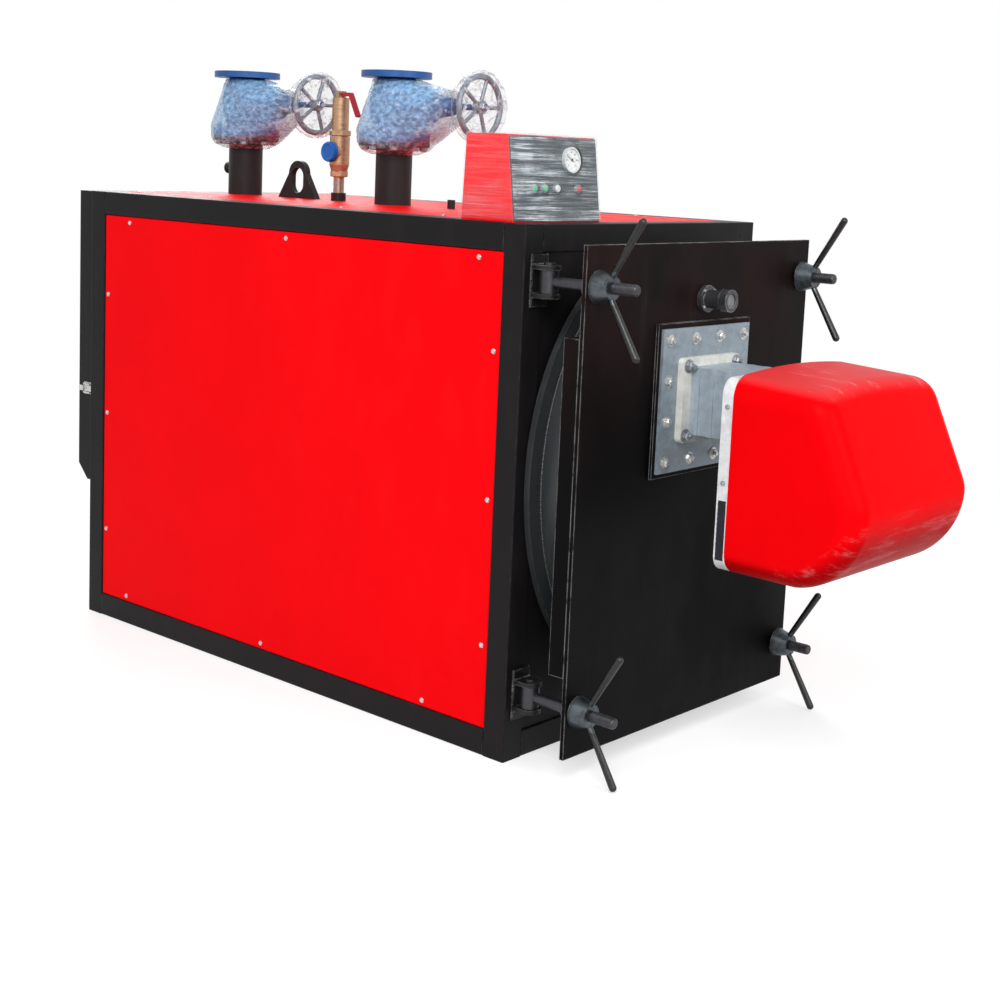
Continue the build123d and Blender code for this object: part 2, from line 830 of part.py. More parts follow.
with BuildPart() as control_switches:
    with BuildSketch(fascia_face):
        for switch_offset in switch_offsets:
            with Locations((switch_offset - box_width / 2, switch_rise)):
                Circle(switch_radius)
    extrude(amount=switch_depth)
save(control_switches, "control_switches")

# Brackets that carry the swing bolts
with BuildPart() as hinge_brackets:
    for bolt_z in bolt_heights.values():
        with BuildSketch(facing(front_y)):
            with GridLocations(bolt_x * 2, 0, 2, 1):
                with Locations((0, bolt_z)):
                    Rectangle(bracket_lug_width, bracket_base_height)
        extrude(amount=bracket_base_depth)
        for lug_side in (-1, 1):
            lug_foot_z = bolt_z + lug_side * bracket_lug_z - bracket_lug_depth / 2
            with BuildSketch(Plane.XY.offset(lug_foot_z)):
                with GridLocations(bolt_x * 2, 0, 2, 1):
                    with Locations((0, (front_y + pin_y) / 2)):
                        Rectangle(bracket_lug_width, front_y - pin_y)
                    with Locations((0, pin_y)):
                        Circle(bracket_lug_width / 2)
                        Circle(pin_radius + running_gap, mode=Mode.SUBTRACT)
            extrude(amount=bracket_lug_depth)
save(hinge_brackets, "hinge_brackets")

pin_half_length = bracket_lug_z + bracket_lug_depth / 2
with BuildPart() as hinge_pins:
    for bolt_z in bolt_heights.values():
        with BuildSketch(Plane.XY.offset(bolt_z - pin_half_length)):
            with GridLocations(bolt_x * 2, 0, 2, 1):
                with Locations((0, pin_y)):
                    Circle(pin_radius)
        extrude(amount=pin_half_length * 2)
        with BuildSketch(Plane.XY.offset(bolt_z + pin_half_length)):
            with GridLocations(bolt_x * 2, 0, 2, 1):
                with Locations((0, pin_y)):
                    Circle(pin_head_radius)
        extrude(amount=pin_head_depth)
save(hinge_pins, "hinge_pins")


def make_eyebolts(x, heights, slack):
    """Eyebolts on the bracket pins, each with its back nut behind the door."""
    with BuildPart() as eyebolts:
        for bolt_z in heights:
            with BuildSketch(Plane.XY.offset(bolt_z - eye_height / 2)):
                with Locations((x, pin_y)):
                    Circle(eye_radius)
            extrude(amount=eye_height)
            with BuildSketch(facing(pin_y)):
                with Locations((x, bolt_z)):
                    Circle(shank_radius)
            extrude(amount=pin_y - shank_end_y)
            with BuildSketch(facing(door_back_y + nut_seat_gap + slack + back_nut_depth)):
                with Locations((x, bolt_z)):
                    RegularPolygon(back_nut_flats / 2, 6, major_radius=False)
            extrude(amount=back_nut_depth)
        with BuildSketch(Plane.XY):
            with Locations((x, pin_y)):
                Circle(pin_radius + running_gap)
        extrude(amount=casing_height, mode=Mode.SUBTRACT)
        tips = eyebolts.edges().filter_by(GeomType.CIRCLE).group_by(Axis.Y)[0]
        fillet(tips, radius=shank_end_radius)
    return eyebolts


save(make_eyebolts(-bolt_x, bolt_heights.values(), 0), "left_eyebolts")
for height_name, bolt_height in bolt_heights.items():
    save(make_eyebolts(bolt_x, [bolt_height], back_nut_slack), f"{height_name}_right_eyebolt")


def make_wing_nut(x, bolt_z, slack):
    """Wing nut on a swing bolt: a tapered hub with two arms that lean away from the door."""
    seat_y = door_front_y - nut_seat_gap - slack
    hub_middle_y = seat_y - nut_hub_depth / 2
    arm_length = (nut_arm_rise**2 + nut_arm_reach**2) ** 0.5
    with BuildPart() as wing_nut:
        with BuildSketch(facing(seat_y)):
            with Locations((x, bolt_z)):
                Circle(nut_hub_radius)
        with BuildSketch(facing(seat_y - nut_hub_depth)):
            with Locations((x, bolt_z)):
                Circle(nut_nose_radius)
        loft()
        for side in (-1, 1):
            arm_plane = Plane(
                origin=(x, hub_middle_y, bolt_z),
                x_dir=(1, 0, 0),
                z_dir=(0, -nut_arm_reach, side * nut_arm_rise),
            )
            with BuildSketch(arm_plane):
                Circle(nut_arm_root_radius)
            with BuildSketch(arm_plane.offset(arm_length)):
                Circle(nut_arm_tip_radius)
            loft()
            with Locations(arm_plane.offset(arm_length).location):
                Sphere(nut_arm_tip_radius)
        with BuildSketch(facing(seat_y)):
            with Locations((x, bolt_z)):
                Circle(shank_radius + running_gap)
        extrude(amount=nut_hub_depth * 2, mode=Mode.SUBTRACT)
    return wing_nut


for height_name, bolt_height in bolt_heights.items():
    save(make_wing_nut(-bolt_x, bolt_height, 0), f"{height_name}_left_wing_nut")
    save(make_wing_nut(bolt_x, bolt_height, nut_slack), f"{height_name}_right_wing_nut")

# Door plate with the raised frame for the burner, bolt holes on the left and open slots on the right
slot_width = (shank_radius + bolt_hole_gap) * 2
with BuildPart() as door_plate:
    with BuildSketch(facing(door_back_y)):
        with Locations((0, door_centre_z)):
            Rectangle(door_half_width * 2, door_height)
    extrude(amount=door_depth)
    with BuildSketch(facing(door_front_y)):
        with Locations((0, burner_z)):
            Rectangle(raised_frame_width, raised_frame_height)
    extrude(amount=raised_frame_depth)
    with BuildSketch(facing(door_back_y + cut_overrun)):
        with Locations((0, burner_z)):
            Circle(blast_tube_radius + blast_hole_gap)
        with Locations((0, sight_z)):
            Circle(sight_window_radius)
        for bolt_z in bolt_heights.values():
            with Locations((-bolt_x, bolt_z), (bolt_x, bolt_z)):
                Circle(slot_width / 2)
            with Locations((bolt_x, bolt_z)):
                Rectangle(casing_width, slot_width, align=(Align.MIN, Align.CENTER))
    extrude(amount=door_depth + raised_frame_depth + cut_overrun * 2, mode=Mode.SUBTRACT)
save(door_plate, "door_plate")

with BuildPart() as door_stiffeners:
    with BuildSketch(facing(door_back_y + stiffener_depth)):
        with Locations((0, (stiffener_bottom_z + stiffener_top_z) / 2)):
            with GridLocations(door_half_width * 2 - stiffener_width, 0, 2, 1):
                Rectangle(stiffener_width, stiffener_top_z - stiffener_bottom_z)
    extrude(amount=stiffener_depth)
save(door_stiffeners, "door_stiffeners")

lining_seat_y = collar_front_y - lining_seal_gap
with BuildPart() as door_lining:
    with BuildSketch(facing(lining_seat_y)):
        with Locations((0, drum_centre_z)):
            Ellipse(drum_half_width - lining_rim_inset, drum_half_height - lining_rim_inset)
    extrude(amount=lining_seat_y - door_back_y)
    plug_end_inset = lining_plug_inset + lining_plug_taper
    for plug_reach, plug_inset in ((0, lining_plug_inset), (lining_plug_length, plug_end_inset)):
        with BuildSketch(facing(lining_seat_y + plug_reach)):
            with Locations((0, drum_centre_z)):
                Ellipse(drum_half_width - plug_inset, drum_half_height - plug_inset)
    loft()
    with BuildSketch(facing(casing_length)):
        with Locations((0, burner_z)):
            Circle(blast_tube_radius + blast_hole_gap)
        with Locations((0, sight_z)):
            Circle(sight_window_radius)
    extrude(amount=casing_length * 2, mode=Mode.SUBTRACT)
save(door_lining, "door_lining")

sight_front_y = door_front_y - sight_flange_depth - sight_barrel_length - sight_cap_depth
with BuildPart() as sight_glass:
    with BuildSketch(facing(door_front_y)):
        with Locations((0, sight_z)):
            Circle(sight_flange_radius)
    extrude(amount=sight_flange_depth)
    with BuildSketch(facing(door_front_y - sight_flange_depth)):
        with Locations((0, sight_z)):
            Circle(sight_barrel_radius)
    extrude(amount=sight_barrel_length)
    with BuildSketch(facing(door_front_y - sight_flange_depth - sight_barrel_length)):
        with Locations((0, sight_z)):
            Circle(sight_cap_radius)
    extrude(amount=sight_cap_depth)
    with BuildSketch(facing(sight_front_y)):
        with Locations((0, sight_z)):
            Circle(sight_window_radius)
    extrude(amount=-sight_window_recess, mode=Mode.SUBTRACT)
save(sight_glass, "sight_glass")

# Burner
with BuildPart() as burner_plate:
    with BuildSketch(facing(door_front_y - raised_frame_depth)):
        with Locations((0, burner_z)):
            Rectangle(burner_plate_width, burner_plate_height)
            Circle(blast_tube_radius + fit_gap, mode=Mode.SUBTRACT)
    extrude(amount=burner_plate_depth)
save(burner_plate, "burner_plate")

with BuildPart() as burner_flange:
    with BuildSketch(facing(plate_front_y)):
        with Locations((0, burner_z)):
            RectangleRounded(burner_flange_width, burner_flange_height, burner_flange_radius)
            Circle(blast_tube_radius + fit_gap, mode=Mode.SUBTRACT)
    extrude(amount=burner_flange_depth)
save(burner_flange, "burner_flange")

neck_length = neck_front_y - burner_base_back_y
neck_rib_pitch = neck_length / neck_rib_count
with BuildPart() as burner_neck:
    with BuildSketch(facing(neck_front_y)):
        with Locations((0, burner_z)):
            Rectangle(neck_width, neck_height)
    extrude(amount=neck_length)
    with BuildSketch(Plane.XY.offset(burner_z - neck_height / 2)):
        with Locations((0, (neck_front_y + burner_base_back_y) / 2)):
            with GridLocations(neck_width + neck_rib_depth, neck_rib_pitch, 2, neck_rib_count):
                Rectangle(neck_rib_depth, neck_rib_width)
    extrude(amount=neck_height)
    with BuildSketch(facing(blast_tube_end_y)):
        with Locations((0, burner_z)):
            Circle(blast_tube_radius)
    extrude(amount=blast_tube_end_y - neck_front_y)
    with BuildSketch(facing(blast_tube_end_y)):
        with Locations((0, burner_z)):
            Circle(blast_tube_radius - blast_tube_wall)
    extrude(amount=blast_tube_end_y - door_back_y, mode=Mode.SUBTRACT)
save(burner_neck, "burner_neck")

with BuildPart() as burner_base:
    with BuildSketch(facing(burner_base_back_y)):
        with Locations((0, burner_base_z)):
            RectangleRounded(burner_base_width, burner_base_height, burner_base_radius)
    extrude(amount=burner_base_depth)
    vent_middle_y = burner_base_back_y - burner_base_depth / 2
    vent_middle_z = burner_base_z - burner_base_height / 2 + burner_vent_rise + burner_vent_height / 2
    with Locations((0, vent_middle_y, vent_middle_z)):
        with GridLocations(burner_base_width, 0, 2, 1):
            Box(burner_vent_depth * 2, burner_vent_width, burner_vent_height, mode=Mode.SUBTRACT)
save(burner_base, "burner_base")

hood_bottom_z = burner_base_z - hood_back_height / 2
hood_top_z = hood_bottom_z + hood_back_height
hood_lip_y = hood_back_y - hood_length
hood_lip = (hood_lip_y, hood_bottom_z + hood_lip_rise)
hood_chin = (hood_lip_y + hood_chin_setback, hood_bottom_z + hood_chin_rise)
hood_belly = (hood_lip_y + hood_belly_setback, hood_bottom_z)
hood_head_z = hood_top_z + hood_head_room


def hood_outline(y, width, top_z):
    """Outline across the hood at depth y: straight sides under a crowned top."""
    corner = width / 2
    with BuildSketch(facing(y)) as outline:
        with BuildLine():
            Polyline(
                (-corner, top_z),
                (-corner, hood_bottom_z - hood_back_height),
                (corner, hood_bottom_z - hood_back_height),
                (corner, top_z),
            )
            ThreePointArc((corner, top_z), (0, top_z + hood_crown_rise), (-corner, top_z))
        make_face()
    return outline.sketch


with BuildPart() as burner_hood:
    rear_outline = hood_outline(hood_back_y, hood_back_width, hood_top_z)
    front_top_z = hood_top_z - hood_front_fall
    front_outline = hood_outline(hood_lip_y - hood_front_overrun, hood_front_width, front_top_z)
    loft([rear_outline, front_outline], ruled=True)
    with BuildSketch(Plane.YZ.offset(-hood_front_width / 2)):
        with BuildLine():
            Polyline(
                hood_belly,
                (hood_back_y, hood_bottom_z),
                (hood_back_y, hood_head_z),
                (hood_lip_y + hood_head_setback, hood_head_z),
                hood_lip,
            )
            ThreePointArc(hood_lip, hood_chin, hood_belly)
        make_face()
    extrude(amount=hood_front_width, mode=Mode.INTERSECT)
    free_edges = [edge for edge in burner_hood.edges() if edge.center().Y < hood_back_y - cut_overrun]
    brow_edges = [edge for edge in free_edges if abs(edge.center().X) < cut_overrun]
    fillet(ShapeList(brow_edges).sort_by(Axis.Z)[-1:], radius=hood_brow_radius)
    for seam, seam_radius in ((hood_lip, hood_lip_radius), (hood_belly, hood_belly_radius)):
        seam_edges = burner_hood.edges().filter_by(Axis.X).sort_by_distance((0, *seam))
        fillet(seam_edges[:1], radius=seam_radius)
    free_edges = [edge for edge in burner_hood.edges() if edge.center().Y < hood_back_y - cut_overrun]
    side_edges = [edge for edge in free_edges if abs(edge.center().X) > hood_front_width / 3]
    fillet(side_edges, radius=hood_edge_radius)
save(burner_hood, "burner_hood")
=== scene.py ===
"""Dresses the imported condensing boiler: finishes for every part, fasteners, films, dial and studio stage."""

import math

import bmesh
import bpy
from mathutils import Matrix, Vector, noise


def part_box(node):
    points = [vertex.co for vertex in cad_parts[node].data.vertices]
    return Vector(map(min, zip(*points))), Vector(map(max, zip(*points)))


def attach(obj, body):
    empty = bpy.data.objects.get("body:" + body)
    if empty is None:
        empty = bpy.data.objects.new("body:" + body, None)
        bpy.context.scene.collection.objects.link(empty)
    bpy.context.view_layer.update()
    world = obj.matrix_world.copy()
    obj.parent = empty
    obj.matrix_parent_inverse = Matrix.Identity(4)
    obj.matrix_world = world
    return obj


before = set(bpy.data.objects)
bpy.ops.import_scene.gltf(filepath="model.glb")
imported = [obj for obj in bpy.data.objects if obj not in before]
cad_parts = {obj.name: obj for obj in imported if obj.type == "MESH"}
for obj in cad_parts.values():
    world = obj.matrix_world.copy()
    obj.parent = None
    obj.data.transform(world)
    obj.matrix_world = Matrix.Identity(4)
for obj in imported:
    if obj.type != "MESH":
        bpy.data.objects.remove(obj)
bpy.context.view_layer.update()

bl_info = {
    "name": "Condensing Boiler Dressing",
    "version": (1, 0, 0),
    "blender": (4, 5, 0),
    "location": "View3D > Sidebar > Boiler",
    "description": "Finishes, fasteners, films and stage for the packed condensing boiler",
    "category": "Object",
}

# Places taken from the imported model, in metres
panel_low, panel_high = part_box("side_panels")
top_low, top_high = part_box("top_panel")
plate_low, plate_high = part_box("burner_plate")
flange_low, flange_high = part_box("burner_flange")
base_low, base_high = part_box("burner_base")
sight_low, sight_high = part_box("sight_glass")
valve_low, valve_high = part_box("valve_bodies")
smoke_low, smoke_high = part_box("smoke_box")
flue_low, flue_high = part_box("flue_spigot")
control_low, control_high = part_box("control_box")
gauge_low, gauge_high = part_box("control_gauge")
lamp_low, lamp_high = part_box("control_switches")
stub_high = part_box("pipe_stubs")[1]
safety_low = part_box("safety_valve")[0]
bracket_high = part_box("hinge_brackets")[1]
collar_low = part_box("drum_collar")[0]
VALVE_PLACES = {"flow": 0.066, "return": 0.782}
VALVE_MIDDLE_Z = (valve_low.z + valve_high.z) / 2
WHEEL_SETBACK = 0.352
SAFETY_Y = 0.315
DRUM_MIDDLE_Z = 0.735
BOLT_X = 0.463
BOLT_HEIGHTS = {"lower": 0.178, "upper": 1.258}
SIGHT_MIDDLE_Z = (sight_low.z + sight_high.z) / 2
GAUGE_MIDDLE = (gauge_low + gauge_high) / 2
LAMP_Y = (lamp_low.y + lamp_high.y) / 2
LAMP_Z = (lamp_low.z + lamp_high.z) / 2
LAMP_PLACES = ((-0.409, "lamp_green"), (-0.367, "lamp_green"), (-0.317, "lamp_white"), (-0.229, "lamp_red"))
FRONT = Vector((0, -1, 0))
BACK = Vector((0, 1, 0))
LEFT = Vector((-1, 0, 0))
RIGHT = Vector((1, 0, 0))
UP = Vector((0, 0, 1))
DOWN = Vector((0, 0, -1))


def shown(red, green, blue):
    """A colour as it shows on a screen, from 0 to 255, as the linear values that Blender mixes."""
    return tuple(
        (value / 255) / 12.92 if value < 10.3 else ((value / 255 + 0.055) / 1.055) ** 2.4
        for value in (red, green, blue)
    )


# Values a user would change


def colour_value(label, words, red, green, blue):
    """One colour property with its default."""
    return bpy.props.FloatVectorProperty(
        name=label, description=words, subtype="COLOR", size=3, min=0, max=1, default=shown(red, green, blue)
    )


def length_value(label, words, metres):
    """One length property with its default."""
    return bpy.props.FloatProperty(
        name=label, description=words, default=metres, min=0.0, precision=4, unit="LENGTH", subtype="DISTANCE"
    )


class BOILER_PG_colours(bpy.types.PropertyGroup):
    """Colours of the boiler's finishes."""

    panel_red: colour_value("Panel red", "Powder coat on the casing panels", 250, 4, 14)
    hood_red: colour_value("Hood red", "Moulded hood of the burner", 240, 3, 10)
    frame_black: colour_value("Frame black", "Satin paint on the casing frame", 21, 19, 21)
    door_black: colour_value("Door black", "Heat-proof paint on the door", 6, 6, 6)
    door_tint: colour_value("Door tint", "Brown cast on the upper half of the door", 38, 23, 23)
    stub_black: colour_value("Stub black", "Paint on the pipe stubs", 30, 29, 30)
    valve_blue: colour_value("Valve blue", "Enamel on the gate valves", 40, 88, 150)
    wheel_grey: colour_value("Wheel grey", "Handwheels", 126, 134, 144)
    brass: colour_value("Brass", "Safety valve", 184, 150, 118)
    lever_red: colour_value("Lever red", "Safety valve lever", 176, 34, 52)
    cap_blue: colour_value("Cap blue", "Plastic cap on the safety valve outlet", 30, 104, 190)
    fascia_grey: colour_value("Fascia grey", "Front plate of the control box", 62, 70, 74)
    zinc: colour_value("Zinc", "Galvanised plate behind the burner", 142, 154, 163)
    alloy: colour_value("Alloy", "Cast neck of the burner", 164, 176, 186)
    cream: colour_value("Cream", "Flange of the burner", 206, 206, 200)
    base_grey: colour_value("Base grey", "Base band of the burner", 216, 217, 219)
    steel: colour_value("Steel", "Bare and plated fittings", 168, 172, 176)
    film: colour_value("Film", "Creases of the wrapping film", 240, 244, 248)
    film_tint: colour_value("Film tint", "Wrapping film where it clings to the blue valves", 158, 205, 250)
    fibre: colour_value("Fibre", "Insulating lining of the door", 214, 206, 188)


class BOILER_PG_sizes(bpy.types.PropertyGroup):
    """Sizes of the pieces that the scene adds."""

    panel_screw_radius: length_value("Panel screw radius", "Head radius of the panel screws", 0.0056)
    panel_screw_inset: length_value("Panel screw inset", "Distance of the panel screws from the edges", 0.019)
    plate_bolt_radius: length_value("Plate bolt radius", "Head radius of the burner plate bolts", 0.0115)
    plate_bolt_inset: length_value("Plate bolt inset", "Distance of the plate bolts from the edges", 0.03)
    thread_pitch: length_value("Thread pitch", "Pitch of the swing bolt threads", 0.0035)
    film_voxel: length_value("Film grid", "Grid size of the film meshes", 0.005)
    film_crease: length_value("Film crease", "Height of the film's creases", 0.0024)


# Mesh helpers


def link_piece(name, mesh, body, material=None):
    """A finished piece at the origin that moves with a body."""
    piece = bpy.data.objects.new(name, mesh)
    bpy.context.scene.collection.objects.link(piece)
    if material is not None:
        mesh.materials.clear()
        mesh.materials.append(material)
    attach(piece, body)
    return piece


def mesh_from(name, build):
    """A mesh made by a function that fills a bmesh."""
    shape = bmesh.new()
    build(shape)
    bmesh.ops.recalc_face_normals(shape, faces=shape.faces)
    mesh = bpy.data.meshes.new(name)
    shape.to_mesh(mesh)
    shape.free()
    return mesh


def smooth_shade(mesh, degrees=35):
    """Smooth shading with the sharp edges kept."""
    mesh.shade_smooth()
    mesh.set_sharp_from_angle(angle=math.radians(degrees))


def built_piece(name, build, body, material, degrees=35):
    """A piece made by a function that fills a bmesh, shaded smooth up to an angle, or flat for no angle."""
    mesh = mesh_from(name, build)
    if degrees:
        smooth_shade(mesh, degrees)
    return link_piece(name, mesh, body, material)


def upright_ring(half_wide, half_tall, y, middle_z, count, start=0.0):
    """Points on an upright ellipse about the middle plane; start is a share of one step."""
    points = []
    for step in range(count):
        angle = math.tau * (step + start) / count
        points.append(Vector((half_wide * math.cos(angle), y, middle_z + half_tall * math.sin(angle))))
    return points


def frame_of(point, axis):
    """A matrix that puts local Z along an axis at a point."""
    return Matrix.Translation(point) @ axis.to_track_quat("Z", "Y").to_matrix().to_4x4()


def add_lathe(shape, profile, place, steps=40):
    """Turns (radius, height) pairs about the local Z of a place matrix, closed where they meet the axis."""
    rings = []
    for radius, height in profile:
        if radius < 1e-6:
            rings.append([shape.verts.new(place @ Vector((0, 0, height)))])
            continue
        ring = []
        for step in range(steps):
            angle = math.tau * step / steps
            point = Vector((radius * math.cos(angle), radius * math.sin(angle), height))
            ring.append(shape.verts.new(place @ point))
        rings.append(ring)
    for low, high in zip(rings, rings[1:]):
        for step in range(steps):
            following = (step + 1) % steps
            corners = []
            for corner in (
                low[step % len(low)],
                low[following % len(low)],
                high[following % len(high)],
                high[step % len(high)],
            ):
                if corner not in corners:
                    corners.append(corner)
            if len(corners) > 2:
                shape.faces.new(corners)


def add_block(shape, low, high, bevel=0.0, place=None):
    """A box between two corners with rounded edges."""
    made = bmesh.ops.create_cube(shape, size=1.0)
    low, high = Vector(low), Vector(high)
    size = high - low
    for vert in made["verts"]:
        vert.co = Vector((vert.co.x * size.x, vert.co.y * size.y, vert.co.z * size.z)) + (low + high) / 2
    verts = made["verts"]
    if bevel > 0:
        edges = list(dict.fromkeys(edge for vert in verts for edge in vert.link_edges))
        result = bmesh.ops.bevel(shape, geom=edges, offset=bevel, segments=2, profile=0.5, affect="EDGES")
        verts = result["verts"]
        faces = dict.fromkeys(face for vert in verts for face in vert.link_faces)
        verts = list(dict.fromkeys(vert for face in faces for vert in face.verts))
    if place is not None:
        for vert in verts:
            vert.co = place @ vert.co


def add_tube(shape, points, radius, steps=10, closed=False):
    """A round tube along points, kept from twisting."""
    rings = []
    count = len(points)
    side = None
    for number, point in enumerate(points):
        ahead = points[(number + 1) % count] if closed or number + 1 < count else point
        behind = points[number - 1] if closed or number else point
        along = (ahead - behind).normalized()
        if side is None:
            side = along.orthogonal().normalized()
        side = (side - along * side.dot(along)).normalized()
        other = along.cross(side)
        ring = []
        for step in range(steps):
            angle = math.tau * step / steps
            ring.append(shape.verts.new(point + radius * (math.cos(angle) * side + math.sin(angle) * other)))
        rings.append(ring)
    pairs = list(zip(rings, rings[1:]))
    if closed:
        pairs.append((rings[-1], rings[0]))
    for low, high in pairs:
        for k in range(steps):
            shape.faces.new((low[k], low[(k + 1) % steps], high[(k + 1) % steps], high[k]))
    if not closed:
        shape.faces.new(list(reversed(rings[0])))
        shape.faces.new(rings[-1])


# Geometry node trees


def new_tree(name, **sockets):
    """An empty geometry node tree with its named inputs by kind, besides the geometry and the finish."""
    tree = bpy.data.node_groups.new(name, "GeometryNodeTree")
    tree.is_modifier = True
    for kind, labels in {"Geometry": ["Geometry"], **sockets, "Material": ["Finish"]}.items():
        for label in labels:
            tree.interface.new_socket(label, in_out="INPUT", socket_type=f"NodeSocket{kind}")
    tree.interface.new_socket("Geometry", in_out="OUTPUT", socket_type="NodeSocketGeometry")
    return tree, tree.nodes.new("NodeGroupInput").outputs


def node_in(tree, kind, values=None, **settings):
    """Adds a node with its settings, then its input values or links."""
    made = tree.nodes.new(kind)
    for label, value in settings.items():
        setattr(made, label, value)
    for label, value in (values or {}).items():
        socket = made.inputs[label]
        if isinstance(value, bpy.types.NodeSocket):
            tree.links.new(value, socket)
        else:
            socket.default_value = value
    return made


def out_of(tree, kind, values=None, **settings):
    """The first output of a new node."""
    return node_in(tree, kind, values, **settings).outputs[0]


def sum_of(tree, first, second, operation="ADD"):
    """The sum, or another result, of two numbers or sockets in a tree."""
    return out_of(tree, "ShaderNodeMath", {0: first, 1: second}, operation=operation)


def lifted(tree, geometry, height):
    """Geometry moved up by a height."""
    offset = out_of(tree, "ShaderNodeCombineXYZ", {"Z": height})
    return out_of(tree, "GeometryNodeTransform", {"Geometry": geometry, "Translation": offset})


def block_in(tree, length, width, depth):
    """A block about the origin."""
    size = out_of(tree, "ShaderNodeCombineXYZ", {"X": length, "Y": width, "Z": depth})
    return out_of(tree, "GeometryNodeMeshCube", {"Size": size})


def random_in(tree, low, high, seed):
    """A random number for each point."""
    limits = {"Min": low, "Max": high, "Seed": seed}
    made = node_in(tree, "FunctionNodeRandomValue", limits, data_type="FLOAT")
    return [socket for socket in made.outputs if socket.enabled][0]


def spread(tree, points, piece, spin=None):
    """Copies of a piece on points, each turned to the direction that its point carries."""
    out = out_of(tree, "GeometryNodeInputNamedAttribute", {"Name": "out"}, data_type="FLOAT_VECTOR")
    turn = out_of(tree, "FunctionNodeAlignRotationToVector", {"Vector": out}, axis="Z")
    if spin is not None:
        angle = random_in(tree, 0.0, math.tau, spin)
        own_turn = out_of(tree, "FunctionNodeAxisAngleToRotation", {"Axis": (0, 0, 1), "Angle": angle})
        turns = {"Rotation": turn, "Rotate By": own_turn}
        turn = out_of(tree, "FunctionNodeRotateRotation", turns, rotation_space="LOCAL")
    placed = {"Points": points, "Instance": piece, "Rotation": turn}
    return out_of(tree, "GeometryNodeInstanceOnPoints", placed)


def close_tree(tree, geometry, value):
    """Realizes the copies, sets their finish and ends the tree."""
    real = out_of(tree, "GeometryNodeRealizeInstances", {"Geometry": geometry})
    done = out_of(tree, "GeometryNodeSetMaterial", {"Geometry": real, "Material": value["Finish"]})
    tree.links.new(done, tree.nodes.new("NodeGroupOutput").inputs[0])
    return tree


def fastener_tree():
    """Washer, many-sided head with a bevelled top, and a bolt end, on every point."""
    tree, value = new_tree(
        "Fastener heads",
        Int=["Sides", "Seed"],
        Float=["Head radius", "Head height", "Washer radius", "Washer height", "End radius", "End height"],
    )
    straight_share, bevel_share, top_share = 0.72, 0.28, 0.74

    def rod(sides, radius, height, foot):
        """A cylinder that stands on a foot height."""
        size = {"Vertices": sides, "Radius": radius, "Depth": height}
        made = out_of(tree, "GeometryNodeMeshCylinder", size)
        return lifted(tree, made, sum_of(tree, foot, sum_of(tree, height, 0.5, "MULTIPLY")))

    washer_height = value["Washer height"]
    head_radius, head_height = value["Head radius"], value["Head height"]
    straight = sum_of(tree, head_height, straight_share, "MULTIPLY")
    bevel = out_of(
        tree,
        "GeometryNodeMeshCone",
        {
            "Vertices": value["Sides"],
            "Radius Top": sum_of(tree, head_radius, top_share, "MULTIPLY"),
            "Radius Bottom": head_radius,
            "Depth": sum_of(tree, head_height, bevel_share, "MULTIPLY"),
        },
    )
    joined = tree.nodes.new("GeometryNodeJoinGeometry")
    for geometry in (
        rod(24, value["Washer radius"], washer_height, 0.0),
        rod(value["Sides"], head_radius, straight, washer_height),
        lifted(tree, bevel, sum_of(tree, washer_height, straight)),
        rod(12, value["End radius"], value["End height"], sum_of(tree, washer_height, head_height)),
    ):
        tree.links.new(geometry, joined.inputs[0])
    return close_tree(tree, spread(tree, value["Geometry"], joined.outputs[0], value["Seed"]), value)


def thread_tree():
    """A helical thread ridge on every point, running along the direction that the point carries."""
    tree, value = new_tree("Rolled threads", Float=["Rod radius", "Pitch", "Length", "Ridge"])
    spiral = out_of(
        tree,
        "GeometryNodeCurveSpiral",
        {
            "Resolution": 20,
            "Rotations": sum_of(tree, value["Length"], value["Pitch"], "DIVIDE"),
            "Start Radius": value["Rod radius"],
            "End Radius": value["Rod radius"],
            "Height": value["Length"],
        },
    )
    outline = {"Resolution": 4, "Radius": value["Ridge"]}
    ridge = out_of(tree, "GeometryNodeCurvePrimitiveCircle", outline, mode="RADIUS")
    swept = {"Curve": spiral, "Profile Curve": ridge, "Fill Caps": True}
    helix = out_of(tree, "GeometryNodeCurveToMesh", swept)
    return close_tree(tree, spread(tree, value["Geometry"], helix), value)


def mark_tree():
    """Marks round a dial, set on an arc about the local Z axis."""
    lengths = ["Start", "Sweep", "Ring radius", "Mark length", "Mark width", "Mark depth"]
    tree, value = new_tree("Dial marks", Int=["Count"], Float=lengths)
    bend = {"Radius": value["Ring radius"], "Start Angle": value["Start"], "Sweep Angle": value["Sweep"]}
    arc = out_of(tree, "GeometryNodeCurveArc", {"Resolution": 64, **bend}, mode="RADIUS")
    points = out_of(tree, "GeometryNodeCurveToPoints", {"Curve": arc, "Count": value["Count"]}, mode="COUNT")
    mark = block_in(tree, value["Mark length"], value["Mark width"], value["Mark depth"])
    position = out_of(tree, "GeometryNodeInputPosition")
    turn = out_of(tree, "FunctionNodeAlignRotationToVector", {"Vector": position}, axis="X")
    placed = {"Points": points, "Instance": mark, "Rotation": turn}
    return close_tree(tree, out_of(tree, "GeometryNodeInstanceOnPoints", placed), value)


